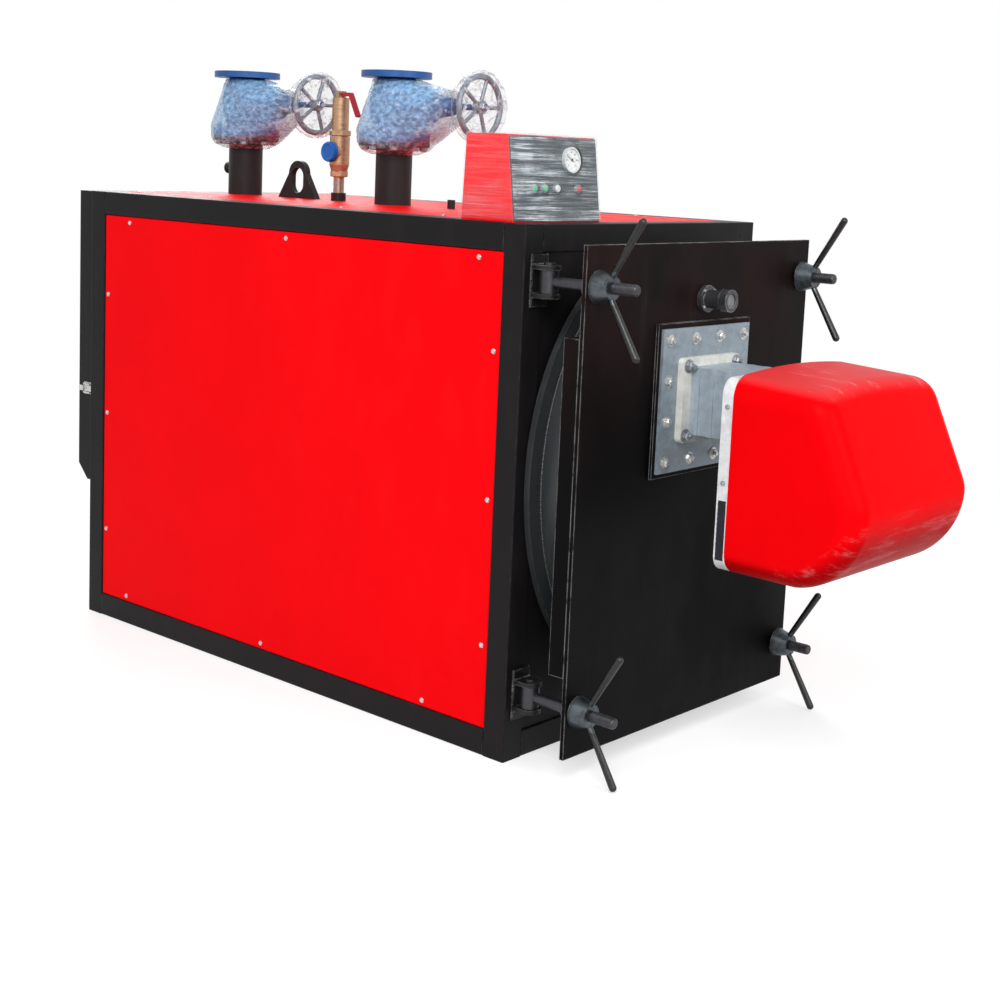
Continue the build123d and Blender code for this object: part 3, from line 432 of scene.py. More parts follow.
def bead_tree():
    """Weld ripples along a path, each a round bead of slightly different size."""
    tree, value = new_tree("Weld beads", Float=["Bead radius", "Pitch"], Int=["Seed"])
    path = out_of(tree, "GeometryNodeMeshToCurve", {"Mesh": value["Geometry"]})
    spaced = {"Curve": path, "Length": value["Pitch"]}
    points = node_in(tree, "GeometryNodeCurveToPoints", spaced, mode="LENGTH")
    ball = {"Segments": 10, "Rings": 6, "Radius": value["Bead radius"]}
    placed = {
        "Points": points.outputs[0],
        "Instance": out_of(tree, "GeometryNodeMeshUVSphere", ball),
        "Rotation": points.outputs["Rotation"],
        "Scale": random_in(tree, 0.8, 1.15, value["Seed"]),
    }
    copies = out_of(tree, "GeometryNodeInstanceOnPoints", placed)
    return close_tree(tree, out_of(tree, "GeometryNodeSetShadeSmooth", {"Geometry": copies}), value)


def slat_tree():
    """Leaning slats on every point, each turned to the direction that its point carries."""
    tree, value = new_tree("Vent slats", Float=["Length", "Width", "Depth", "Tilt"])
    slat = block_in(tree, value["Length"], value["Width"], value["Depth"])
    lean = out_of(tree, "ShaderNodeCombineXYZ", {"Y": value["Tilt"]})
    leaned = out_of(tree, "GeometryNodeTransform", {"Geometry": slat, "Rotation": lean})
    return close_tree(tree, spread(tree, value["Geometry"], leaned), value)


TREE_MAKERS = {
    "Fastener heads": fastener_tree,
    "Rolled threads": thread_tree,
    "Dial marks": mark_tree,
    "Weld beads": bead_tree,
    "Vent slats": slat_tree,
}


def grown(tree_name, source, values):
    """The plain mesh that a tree makes from a source mesh and named values."""
    tree = bpy.data.node_groups.get(tree_name) or TREE_MAKERS[tree_name]()
    holder = bpy.data.objects.new("holder", source)
    bpy.context.scene.collection.objects.link(holder)
    modifier = holder.modifiers.new(tree_name, "NODES")
    modifier.node_group = tree
    sockets = {item.name: item.identifier for item in tree.interface.items_tree if item.in_out == "INPUT"}
    for label, value in values.items():
        modifier[sockets[label]] = value
    bpy.context.view_layer.update()
    evaluated = holder.evaluated_get(bpy.context.evaluated_depsgraph_get())
    mesh = bpy.data.meshes.new_from_object(evaluated)
    holder.modifiers.remove(modifier)
    bpy.data.objects.remove(holder)
    if not mesh.polygons:
        raise RuntimeError(f"{tree_name} made no faces")
    return mesh


def grown_piece(name, body, tree_name, source, values):
    """A piece that a tree makes from a source mesh and named values, on a body."""
    return link_piece(name, grown(tree_name, source, values), body)


def point_mesh(places):
    """Points that carry the direction their copies turn to."""
    mesh = bpy.data.meshes.new("places")
    mesh.from_pydata([place for place, out in places], [], [])
    directions = mesh.attributes.new("out", "FLOAT_VECTOR", "POINT")
    directions.data.foreach_set("vector", [value for place, out in places for value in out])
    return mesh


def path_mesh(paths):
    """Open or closed runs of edges through lists of points."""
    points, edges = [], []
    for path, closed in paths:
        first = len(points)
        points.extend(path)
        edges.extend((first + k, first + k + 1) for k in range(len(path) - 1))
        if closed:
            edges.append((len(points) - 1, first))
    mesh = bpy.data.meshes.new("paths")
    mesh.from_pydata(points, edges, [])
    return mesh


def fasteners(name, places, body, material, radius, height, washer=1.45, sides=6, end=0.0, seed=3):
    """Screws or bolts on a body: washer and end are shares of the head's radius and height."""
    washer_thickness, end_radius, least_end = 0.22, 0.5, 0.0004
    most_flat_sides = 8
    values = {
        "Sides": sides,
        "Head radius": radius,
        "Head height": height,
        "Washer radius": radius * washer,
        "Washer height": height * washer_thickness,
        "End radius": radius * end_radius,
        "End height": max(height * end, least_end),
        "Seed": seed,
        "Finish": material,
    }
    mesh = grown("Fastener heads", point_mesh(places), values)
    if sides > most_flat_sides:
        smooth_shade(mesh)
    return link_piece(name, mesh, body)


# Finishes


class Finish:
    """A procedural finish on object coordinates, with short names for the nodes that it uses."""

    def __init__(self, name):
        self.material = bpy.data.materials.new(name)
        self.material.use_nodes = True
        self.tree = self.material.node_tree
        self.tree.nodes.clear()
        end = self.tree.nodes.new("ShaderNodeOutputMaterial")
        self.shader = self.tree.nodes.new("ShaderNodeBsdfPrincipled")
        self.tree.links.new(self.shader.outputs[0], end.inputs["Surface"])
        self.place = self.tree.nodes.new("ShaderNodeTexCoord").outputs["Object"]

    def set(self, **values):
        """Sets or links the shader's inputs, named with underscores, and gives the finished material."""
        for label, value in values.items():
            socket = self.shader.inputs[label.replace("_", " ")]
            if isinstance(value, bpy.types.NodeSocket):
                self.tree.links.new(value, socket)
            elif socket.type == "RGBA":
                socket.default_value = (*value, 1)
            else:
                socket.default_value = value
        return self.material

    def stretched(self, stretch, shift=(0, 0, 0)):
        """Object coordinates scaled by axis, which turns spots into streaks."""
        values = {"Vector": self.place, "Scale": stretch, "Location": shift}
        return out_of(self.tree, "ShaderNodeMapping", values)

    def noise(self, scale, detail=4.0, rough=0.55, stretch=None, shift=(0, 0, 0)):
        """Cloudy noise from 0 to 1."""
        place = self.stretched(stretch or (1, 1, 1), shift) if stretch or any(shift) else self.place
        values = {"Vector": place, "Scale": scale, "Detail": detail, "Roughness": rough}
        return out_of(self.tree, "ShaderNodeTexNoise", values)

    def cells(self, scale):
        """A random tone for each Voronoi cell, such as the crystals of zinc."""
        values = {"Vector": self.place, "Scale": scale}
        made = node_in(self.tree, "ShaderNodeTexVoronoi", values, feature="F1")
        return out_of(self.tree, "ShaderNodeSeparateColor", {0: made.outputs["Color"]})

    def span(self, value, low, high, floor=0.0, ceiling=1.0):
        """A value stretched so that low gives floor and high gives ceiling, clamped and eased."""
        values = {0: value, 1: low, 2: high, 3: floor, 4: ceiling}
        return out_of(self.tree, "ShaderNodeMapRange", values, interpolation_type="SMOOTHSTEP")

    def math(self, first, second, operation="MULTIPLY"):
        """Arithmetic on two values."""
        return sum_of(self.tree, first, second, operation)

    def mix(self, share, first, second):
        """A colour between two colours."""
        made = self.tree.nodes.new("ShaderNodeMix")
        made.data_type = "RGBA"
        for socket, value in ((made.inputs[0], share), (made.inputs[6], first), (made.inputs[7], second)):
            if isinstance(value, bpy.types.NodeSocket):
                self.tree.links.new(value, socket)
            else:
                socket.default_value = (*value, 1) if socket.type == "RGBA" else value
        return made.outputs[2]

    def blend(self, share, first, second):
        """A number between two numbers."""
        return out_of(self.tree, "ShaderNodeMix", {0: share, 2: first, 3: second}, data_type="FLOAT")

    def carried(self, label):
        """A value that the mesh carries at its points."""
        return node_in(self.tree, "ShaderNodeAttribute", attribute_name=label).outputs["Fac"]

    def axis(self, label):
        """One object coordinate."""
        return node_in(self.tree, "ShaderNodeSeparateXYZ", {0: self.place}).outputs[label]

    def normal(self):
        """The surface normal, without bump."""
        return self.tree.nodes.new("ShaderNodeNewGeometry").outputs["Normal"]

    def facing_up(self):
        """How far the surface looks up, from -1 to 1."""
        return node_in(self.tree, "ShaderNodeSeparateXYZ", {0: self.normal()}).outputs["Z"]

    def edges(self, radius):
        """1 along the solid's edges and 0 on its faces."""
        soft = out_of(self.tree, "ShaderNodeBevel", {"Radius": radius}, samples=4)
        both = {0: soft, 1: self.normal()}
        near = node_in(self.tree, "ShaderNodeVectorMath", both, operation="DOT_PRODUCT").outputs["Value"]
        return self.span(near, 0.985, 0.86)

    def bump(self, height, strength, distance, normal=None):
        """A surface normal raised by a height."""
        values = {"Height": height, "Strength": strength, "Distance": distance}
        if normal is not None:
            values["Normal"] = normal
        return out_of(self.tree, "ShaderNodeBump", values)


def scaled(colour, share):
    """A colour made lighter or darker."""
    return tuple(min(1.0, value * share) for value in colour)


def sprayed(name, colour, rough, mottle=0.88, dust=0.05, wear_and_highlight=None, wear_and_highlight_radius=0.004, shine=0.12):
    """Sprayed paint: a faint mottle, orange peel, settled dust, and worn edges that also carry a painted edge
    highlight.
    """
    made = Finish(name)
    cloud = made.noise(3.2, 5, 0.6)
    base = made.mix(made.span(cloud, 0.3, 0.72), scaled(colour, mottle), colour)
    rub = made.noise(14, 6, 0.62, stretch=(1, 1, 0.35))
    settled = made.math(made.span(made.facing_up(), 0.2, 1.0, 0.25, 1.0), made.span(rub, 0.46, 0.78))
    base = made.mix(made.math(settled, dust), base, shown(176, 166, 156))
    if wear_and_highlight is not None:
        # Pale edges: chipped paint together with a painted highlight along the edges.
        chips_and_highlight = made.math(made.edges(wear_and_highlight_radius), made.span(made.noise(38, 5, 0.7), 0.42, 0.66))
        base = made.mix(chips_and_highlight, base, shown(*wear_and_highlight))
    return made.set(
        Base_Color=base,
        Roughness=made.span(rub, 0.3, 0.75, rough - 0.05, rough + 0.12),
        Normal=made.bump(made.noise(420, 2, 0.5), 0.1, 0.0006),
        Specular_IOR_Level=shine,
    )


def door_paint(black, brown):
    """Heat-proof black with a brown cast on the upper half, brush stains, and rubbed edges that also carry a
    painted edge highlight.
    """
    made = Finish("heat_proof_black")
    height = made.span(made.axis("Z"), 0.72, 1.3)
    cloud = made.span(made.noise(2.6, 6, 0.62, stretch=(1, 1, 0.6)), 0.25, 0.8)
    base = made.mix(made.math(height, cloud), black, brown)
    streak = made.span(made.noise(9, 7, 0.68, stretch=(1, 1, 0.12)), 0.55, 0.8)
    base = made.mix(made.math(streak, 0.1), base, shown(84, 78, 76))
    grain = made.noise(160, 3, 0.6)
    base = made.mix(made.span(grain, 0.55, 0.85, 0.0, 0.08), base, shown(52, 48, 48))
    # Pale edges: rubbed paint together with a painted highlight along the edges.
    pale_marks = made.math(made.edges(0.004), made.span(made.noise(22, 5, 0.7), 0.3, 0.58))
    base = made.mix(made.math(pale_marks, 0.8), base, shown(150, 150, 150))
    return made.set(
        Base_Color=base,
        Roughness=made.span(cloud, 0.2, 0.9, 0.42, 0.6),
        Normal=made.bump(grain, 0.22, 0.0008),
        Specular_IOR_Level=0.045,
    )


def hood_gloss(red):
    """Moulded red with painted shade under its belly, painted shade and pale streaks of scuffed film and
    painted sheen on its crown, a scuffed chin and a fine grain.
    """
    made = Finish("moulded_red")
    cloud = made.span(made.noise(2.2, 4, 0.5), 0.3, 0.75)
    base = made.mix(cloud, scaled(red, 0.9), red)
    # Painted shade: the surface turns darker where it faces down, under the belly.
    under = made.span(made.facing_up(), -0.05, -0.55)
    base = made.mix(made.math(under, 0.75), base, scaled(red, 0.34))
    streak = made.span(made.noise(26, 8, 0.74, stretch=(1, 0.16, 1)), 0.5, 0.7)
    # Painted shade on the upward faces, which then get pale streaks of scuffed film and painted sheen.
    crown = made.span(made.facing_up(), 0.62, 0.97)
    base = made.mix(made.math(crown, 0.7), base, scaled(red, 0.6))
    base = made.mix(made.math(made.span(streak, 0.0, 1.0, 0.1, 0.55), crown), base, shown(226, 150, 154))
    low_edge = made.math(made.span(made.facing_up(), -0.02, -0.3), made.span(made.axis("Y"), -1.5, -1.62))
    pale_marks = made.span(made.noise(30, 7, 0.72, stretch=(0.12, 0.5, 1), shift=(3, 1, 2)), 0.5, 0.68)
    base = made.mix(made.math(made.math(pale_marks, low_edge), 0.4), base, shown(216, 120, 124))
    return made.set(
        Base_Color=base,
        Roughness=made.span(streak, 0.0, 1.0, 0.38, 0.5),
        Normal=made.bump(made.noise(260, 2, 0.5), 0.05, 0.0005),
        Specular_IOR_Level=0.015,
    )


def wing_nut_steel():
    """Wing nuts: black arms with rubbed edges that also carry a painted edge highlight, on a dull machined hub
    about each bolt's axis.
    """
    made = Finish("wing_nut_steel")
    across = made.math(made.math(made.axis("X"), 0.0, "ABSOLUTE"), BOLT_X, "SUBTRACT")
    offsets = [made.math(made.axis("Z"), height, "SUBTRACT") for height in BOLT_HEIGHTS.values()]
    rises = [made.math(offset, 0.0, "ABSOLUTE") for offset in offsets]
    rise = made.math(rises[0], rises[1], "MINIMUM")
    reach = made.math(made.math(across, 2.0, "POWER"), made.math(rise, 2.0, "POWER"), "ADD")
    outer, inner = 0.043, 0.038
    hub = made.span(reach, outer**2, inner**2)
    lines = made.noise(150, 4, 0.6, stretch=(1, 0.2, 1))
    smear = made.span(made.noise(24, 6, 0.7), 0.42, 0.66)
    machined = made.mix(made.math(smear, 0.7), shown(86, 93, 98), shown(34, 36, 39))
    # Pale edges on the arms: rubbed paint together with a painted highlight along the edges.
    pale_marks = made.math(made.edges(0.004), made.span(made.noise(38, 5, 0.7), 0.4, 0.64))
    painted = made.mix(made.span(lines, 0.35, 0.7), shown(20, 20, 21), shown(34, 34, 35))
    painted = made.mix(pale_marks, painted, shown(128, 130, 130))
    return made.set(
        Base_Color=made.mix(hub, painted, machined),
        Metallic=made.math(hub, 0.85),
        Roughness=made.span(lines, 0.2, 0.8, 0.24, 0.42),
        Normal=made.bump(lines, 0.12, 0.0005),
        Specular_IOR_Level=0.4,
    )


def zinc_spangle(zinc):
    """Galvanised sheet with its crystal spangle and grey smudges."""
    made = Finish("galvanised_sheet")
    tone = made.cells(70)
    base = made.mix(made.span(tone, 0.0, 1.0), scaled(zinc, 0.86), scaled(zinc, 1.06))
    smudge = made.span(made.noise(7, 6, 0.66), 0.5, 0.78)
    base = made.mix(made.math(smudge, 0.28), base, shown(128, 134, 142))
    return made.set(
        Base_Color=base,
        Metallic=0.4,
        Roughness=made.span(tone, 0.0, 1.0, 0.32, 0.52),
        Normal=made.bump(tone, 0.06, 0.0006),
    )


def bare_metal(
    name, colour, rough=0.34, stretch=(1, 1, 1), stain=0.25, stain_colour=(92, 88, 84), metallic=0.9
):
    """Plated or machined metal with fine grain and handling stains."""
    made = Finish(name)
    lines = made.noise(180, 3, 0.6, stretch=stretch)
    base = made.mix(made.span(lines, 0.3, 0.7), scaled(colour, 0.82), scaled(colour, 1.08))
    spot = made.span(made.noise(16, 7, 0.68), 0.52, 0.76)
    base = made.mix(made.math(spot, stain), base, shown(*stain_colour))
    return made.set(
        Base_Color=base,
        Metallic=metallic,
        Roughness=made.span(lines, 0.2, 0.8, rough - 0.08, rough + 0.12),
        Normal=made.bump(lines, 0.12, 0.0004),
    )


def cast_metal(name, colour, metallic, rough, bump, stain):
    """Cast surface: a pebbled skin under paint or left bare."""
    made = Finish(name)
    pebble = made.noise(240, 4, 0.65)
    lump = made.noise(36, 4, 0.6)
    base = made.mix(made.span(lump, 0.3, 0.7), scaled(colour, 0.84), scaled(colour, 1.06))
    dirt = made.span(made.noise(12, 7, 0.7), 0.54, 0.78)
    base = made.mix(made.math(dirt, stain), base, shown(84, 82, 80))
    return made.set(
        Base_Color=base,
        Metallic=metallic,
        Roughness=made.span(pebble, 0.2, 0.8, rough - 0.08, rough + 0.12),
        Normal=made.bump(pebble, bump, 0.0007, made.bump(lump, 0.25, 0.002)),
        Specular_IOR_Level=0.25,
    )


def mill_scale(name, colour):
    """Plain plate steel: blue-grey scale broken by brown rust."""
    made = Finish(name)
    scale = made.span(made.noise(5, 7, 0.65), 0.35, 0.7)
    base = made.mix(scale, scaled(colour, 0.6), colour)
    rust = made.span(made.noise(8, 8, 0.72, shift=(2, 5, 1)), 0.52, 0.72)
    base = made.mix(made.math(rust, 0.6), base, shown(104, 62, 38))
    return made.set(
        Base_Color=base,
        Metallic=0.45,
        Roughness=made.span(rust, 0.0, 1.0, 0.48, 0.82),
        Normal=made.bump(made.noise(90, 5, 0.65), 0.3, 0.0012),
    )


def fibre_board(fibre):
    """Pressed ceramic fibre with patches of soot."""
    made = Finish("fibre_board")
    strand = made.noise(210, 5, 0.75, stretch=(1, 1, 0.3))
    base = made.mix(made.span(strand, 0.3, 0.7), scaled(fibre, 0.78), fibre)
    soot = made.span(made.noise(6, 6, 0.65), 0.5, 0.76)
    base = made.mix(made.math(soot, 0.55), base, shown(84, 76, 68))
    return made.set(Base_Color=base, Roughness=0.92, Normal=made.bump(strand, 0.55, 0.002))


def moulded(name, colour, rough=0.3, bump=0.08):
    """Small moulded plastic pieces with a fine grain and rubbed tone."""
    made = Finish(name)
    tone = made.span(made.noise(60, 4, 0.6), 0.3, 0.72)
    return made.set(
        Base_Color=made.mix(tone, scaled(colour, 0.82), colour),
        Roughness=made.span(tone, 0.0, 1.0, rough + 0.08, rough - 0.06),
        Normal=made.bump(made.noise(420, 2, 0.5), bump, 0.0004),
        Specular_IOR_Level=0.25,
    )


def tight_film(white, tint):
    """Film on a valve: a pale crinkled skin where it clings, glassy with white creases and painted grey for
    its refraction where it is loose.
    """
    made = Finish("valve_film")
    crease = made.carried("crease")
    cling = made.carried("cling")
    crinkle = made.noise(52, 5, 0.62, stretch=(1, 1, 1.6))
    glint = made.span(made.noise(58, 6, 0.7, stretch=(1, 1, 1.5), shift=(4, 2, 7)), 0.54, 0.7)
    rim = node_in(made.tree, "ShaderNodeLayerWeight", {"Blend": 0.35}).outputs["Facing"]
    pale = made.mix(made.span(crinkle, 0.36, 0.64), scaled(tint, 0.72), tint)
    pale = made.mix(made.math(glint, 0.55), pale, white)
    # Painted shade: grey in the loose film stands in for the dark lines of its refraction.
    glassy = made.mix(made.span(crinkle, 0.4, 0.6), shown(132, 146, 158), white)
    skin = made.math(made.span(crinkle, 0.34, 0.7, 0.46, 0.76), made.math(glint, 0.24), "ADD")
    loose = made.math(made.span(crease, 0.4, 0.95, 0.1, 0.62), made.math(glint, 0.2), "ADD")
    loose = made.math(loose, made.span(rim, 0.45, 1.0, 0.0, 0.45), "ADD")
    return made.set(
        Base_Color=made.mix(cling, glassy, pale),
        Alpha=made.blend(cling, loose, skin),
        Roughness=0.12,
        Specular_IOR_Level=0.5,
        Normal=made.bump(crinkle, 0.9, 0.004),
    )


def streaked_film(white):
    """Film on the control box: drawn level, with long thin white and grey streaks."""
    made = Finish("box_film")
    cling = made.carried("cling")
    streak = made.noise(1, 6, 0.66, stretch=(2.4, 2.4, 52))
    thin = made.noise(1, 5, 0.7, stretch=(6, 6, 300), shift=(2, 3, 5))
    cloud = made.span(made.noise(8, 5, 0.6), 0.34, 0.64, 0.4, 1.0)
    veil = made.math(made.span(streak, 0.38, 0.66), made.math(made.span(thin, 0.42, 0.66), 0.4), "ADD")
    fade = made.span(made.axis("X"), control_high.x, control_low.x, 0.6, 1.1)
    veil = made.math(made.math(made.math(veil, cloud), fade), cling)
    return made.set(
        Base_Color=made.mix(made.span(thin, 0.34, 0.66), shown(140, 154, 164), scaled(white, 0.86)),
        Alpha=made.span(veil, 0.0, 1.0, 0.1, 0.95),
        Roughness=0.16,
        Specular_IOR_Level=0.3,
        Normal=made.bump(streak, 0.4, 0.003),
    )


def lens_glass(name, tint):
    """Thin clear glass over a dial or a sight hole, with a faint smear."""
    made = Finish(name)
    smear = made.span(made.noise(45, 5, 0.6), 0.4, 0.75)
    return made.set(
        Base_Color=made.mix(smear, tint, scaled(tint, 0.8)),
        Alpha=made.span(smear, 0.0, 1.0, 0.1, 0.2),
        Roughness=0.05,
        Specular_IOR_Level=0.7,
    )


def finishes():
    """All finishes by the record's slot names and by the scene's own pieces, made once."""
    if bpy.data.materials.get("powder_red"):
        return {material["kept_as"]: material for material in bpy.data.materials if "kept_as" in material}
    colours = bpy.context.scene.boiler_colours

    def tone(label):
        return tuple(getattr(colours, label))

    made = {
        "panel_red": sprayed("powder_red", tone("panel_red"), 0.4, mottle=0.95, dust=0.02, shine=0.03),
        "frame_black": sprayed(
            "satin_black", tone("frame_black"), 0.45, dust=0.04, wear_and_highlight=(78, 76, 76), wear_and_highlight_radius=0.005
        ),
        "vessel_steel": mill_scale("plate_steel", shown(104, 104, 108)),
        "insert_alloy": bare_metal("extruded_alloy", shown(178, 180, 182), stretch=(1, 0.05, 1)),
        "collar_black": sprayed("collar_black", shown(46, 50, 52), 0.32, wear_and_highlight=(88, 80, 76), shine=0.6),
        "smoke_box_black": sprayed("smoke_box_black", shown(25, 24, 26), 0.46, dust=0.07, wear_and_highlight=(92, 90, 88)),
        "flue_steel": bare_metal("flue_steel", shown(182, 184, 186), stretch=(1, 0.08, 1)),
        "stub_black": sprayed(
            "stub_black", tone("stub_black"), 0.46, dust=0.08, wear_and_highlight=(98, 94, 92), shine=0.2
        ),
        "valve_blue": cast_metal("enamelled_iron", tone("valve_blue"), 0.0, 0.36, bump=0.4, stain=0.14),
        "wheel_grey": cast_metal("wheel_enamel", tone("wheel_grey"), 0.35, 0.36, bump=0.3, stain=0.2),
        "brass_body": bare_metal("turned_brass", tone("brass"), 0.4, (0.2, 0.2, 1), 0.4, (112, 74, 46), 0.7),
        "lever_red": moulded("lever_red", tone("lever_red"), rough=0.34),
        "fascia_grey": moulded("fascia_grey", tone("fascia_grey"), rough=0.48, bump=0.2),
        "gauge_white": moulded("gauge_rim", shown(212, 214, 214)),
        "switch_plastic": moulded("lamp_body", shown(150, 162, 158)),
        "fitting_steel": bare_metal("zinc_plated", tone("steel"), 0.36, stain=0.4, stain_colour=(70, 66, 62)),
        "oxide_steel": bare_metal(
            "oxide_steel", shown(74, 74, 78), 0.4, stain=0.4, stain_colour=(40, 36, 34)
        ),
        "door_black": door_paint(tone("door_black"), tone("door_tint")),
        "lining_fibre": fibre_board(tone("fibre")),
        "sight_metal": sprayed("sight_black", shown(44, 44, 47), 0.3, wear_and_highlight=(168, 170, 172), shine=0.5),
        "plate_zinc": zinc_spangle(tone("zinc")),
        "flange_cream": cast_metal("cream_paint", tone("cream"), 0.0, 0.5, bump=0.3, stain=0.22),
        "neck_alloy": cast_metal("cast_alloy", tone("alloy"), 0.25, 0.42, bump=0.45, stain=0.2),
        "base_grey": cast_metal("base_enamel", tone("base_grey"), 0.0, 0.4, bump=0.2, stain=0.12),
        "hood_red": hood_gloss(tone("hood_red")),
        "arm_black": sprayed(
            "arm_black", shown(24, 23, 24), 0.38, dust=0.06, wear_and_highlight=(122, 122, 120), shine=0.3
        ),
        "nut_steel": wing_nut_steel(),
        "screw_pale": bare_metal("screw_zinc", shown(206, 206, 204), 0.3, stain=0.15),
        "film_valve": tight_film(tone("film"), tone("film_tint")),
        "film_box": streaked_film(tone("film")),
        "cap_blue": moulded("cap_blue", tone("cap_blue")),
        "dial_white": moulded("dial_white", shown(240, 241, 240), rough=0.5, bump=0.02),
        "dial_ink": moulded("dial_ink", shown(22, 22, 24), rough=0.5, bump=0.02),
        "lamp_green": moulded("lamp_green", shown(96, 186, 146), rough=0.2, bump=0.02),
        "lamp_white": moulded("lamp_white", shown(220, 224, 222), rough=0.2, bump=0.02),
        "lamp_red": moulded("lamp_red", shown(196, 92, 84), rough=0.2, bump=0.02),
        "glass": lens_glass("lens_glass", shown(236, 242, 244)),
        "vent_dark": moulded("vent_dark", shown(32, 33, 41), rough=0.55),
        "rope_white": fibre_board(tone("fibre")),
    }
    for label, material in made.items():
        material["kept_as"] = label
    return made


NODE_FINISHES = {
    "frame_black": ("frame_posts", "frame_side_rails", "frame_cross_rails", "end_panels"),
    "panel_red": ("side_panels", "top_panel", "control_box"),
    "vessel_steel": (
        "boiler_drum",
        "drum_saddles",
        "front_tube_plate",
        "rear_tube_plate",
        "furnace_tube",
        "smoke_tubes",
    ),
    "insert_alloy": ("tube_inserts",),
    "collar_black": ("drum_collar",),
    "smoke_box_black": ("smoke_box",),
    "flue_steel": ("flue_spigot",),
    "stub_black": ("pipe_stubs", "crown_sockets", "lifting_lug"),
    "valve_blue": ("valve_bodies", "valve_bonnets"),
    "wheel_grey": ("flow_handwheel", "return_handwheel"),
    "brass_body": ("safety_valve",),
    "lever_red": ("safety_lever",),
    "fascia_grey": ("control_fascia",),
    "gauge_white": ("control_gauge",),
    "switch_plastic": ("control_switches",),
    "oxide_steel": ("hinge_pins", "left_eyebolts", "upper_right_eyebolt", "lower_right_eyebolt"),
    "arm_black": ("hinge_brackets",),
    "nut_steel": (
        "upper_left_wing_nut",
        "lower_left_wing_nut",
        "upper_right_wing_nut",
        "lower_right_wing_nut",
    ),
    "door_black": ("door_plate", "door_stiffeners"),
    "lining_fibre": ("door_lining",),
    "sight_metal": ("sight_glass",),
    "plate_zinc": ("burner_plate",),
    "flange_cream": ("burner_flange",),
    "neck_alloy": ("burner_neck",),
    "base_grey": ("burner_base",),
    "hood_red": ("burner_hood",),
}


class BOILER_OT_finishes(bpy.types.Operator):
    """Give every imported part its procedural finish"""

    bl_idname = "boiler.finishes"
    bl_label = "Finish the packed parts"

    def execute(self, context):
        kept = finishes()
        for label, nodes in NODE_FINISHES.items():
            for node in nodes:
                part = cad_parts[node]
                if not part.material_slots:
                    raise RuntimeError(f"{node} has no material slot")
                for slot in part.material_slots:
                    slot.link = "OBJECT"
                    slot.material = kept[label]
        bare = sorted(set(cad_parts) - {node for nodes in NODE_FINISHES.values() for node in nodes})
        if bare:
            raise RuntimeError(f"parts with no finish: {bare}")
        return {"FINISHED"}


# Fasteners


class BOILER_OT_panel_screws(bpy.types.Operator):
    """Set the small pale screws along the edges of the side and top panels"""

    bl_idname = "boiler.panel_screws"
    bl_label = "Panel screws"

    def execute(self, context):
        sizes = context.scene.boiler_sizes
        inset = sizes.panel_screw_inset
        head_height = 0.0034
        upper_row, lower_row = (0.723, -0.025, -0.773), (0.72, 0.046, -0.628)
        columns = (1.071, 0.683, 0.295)
        top_rows = (0.8, 0.43, -0.16, -0.56)
        places = []
        for face_x, out in ((panel_low.x, LEFT), (panel_high.x, RIGHT)):
            for y in upper_row:
                places.append((Vector((face_x, y, panel_high.z - inset)), out))
            for y in lower_row:
                places.append((Vector((face_x, y, panel_low.z + inset)), out))
            for z in columns:
                places.append((Vector((face_x, panel_high.y - inset, z)), out))
                places.append((Vector((face_x, panel_low.y + inset, z)), out))
        for x in (top_low.x + inset, top_high.x - inset):
            for y in top_rows:
                places.append((Vector((x, y, top_high.z)), UP))
        pale, radius = finishes()["screw_pale"], sizes.panel_screw_radius
        fasteners("panel_screws", places, "casing", pale, radius, head_height, washer=1.25, sides=16, seed=5)
        return {"FINISHED"}


class BOILER_OT_burner_bolts(bpy.types.Operator):
    """Bolt the burner plate, its flange and the sight glass to the door, and screw the burner's base"""

    bl_idname = "boiler.burner_bolts"
    bl_label = "Burner bolts"

    def execute(self, context):
        sizes = context.scene.boiler_sizes
        kept = finishes()
        pale, plated = kept["screw_pale"], kept["fitting_steel"]
        inset = sizes.plate_bolt_inset
        places = []
        steps = 4
        for first in range(steps):
            for second in range(steps):
                if first in (0, steps - 1) or second in (0, steps - 1):
                    x = plate_low.x + inset + (plate_high.x - plate_low.x - inset * 2) * first / (steps - 1)
                    z = plate_low.z + inset + (plate_high.z - plate_low.z - inset * 2) * second / (steps - 1)
                    places.append((Vector((x, plate_low.y, z)), FRONT))
        radius = sizes.plate_bolt_radius
        fasteners("burner_plate_bolts", places, "door", pale, radius, 0.0085, end=0.45, seed=2)
        inset_x, inset_z = 0.018, 0.02
        places = []
        for x in (flange_low.x + inset_x, flange_high.x - inset_x):
            for z in (flange_low.z + inset_z, flange_high.z - inset_z):
                places.append((Vector((x, flange_low.y, z)), FRONT))
        fasteners("burner_flange_bolts", places, "door", plated, 0.0125, 0.011, end=0.9, seed=4)
        sight_ring, sight_depth = 0.0305, 0.012
        spots = upright_ring(sight_ring, sight_ring, sight_high.y - sight_depth, SIGHT_MIDDLE_Z, 4, 0.5)
        places = [(spot, FRONT) for spot in spots]
        fasteners("sight_glass_screws", places, "door", plated, 0.0046, 0.004, washer=1.1, seed=8)
        drops = (0.07, 0.26)
        places = []
        for x, out in ((base_low.x, LEFT), (base_high.x, RIGHT)):
            for drop in drops:
                places.append((Vector((x, (base_low.y + base_high.y) / 2, base_high.z - drop)), out))
        fasteners("burner_base_screws", places, "door", plated, 0.0055, 0.003, washer=1.2, sides=16, seed=9)
        return {"FINISHED"}


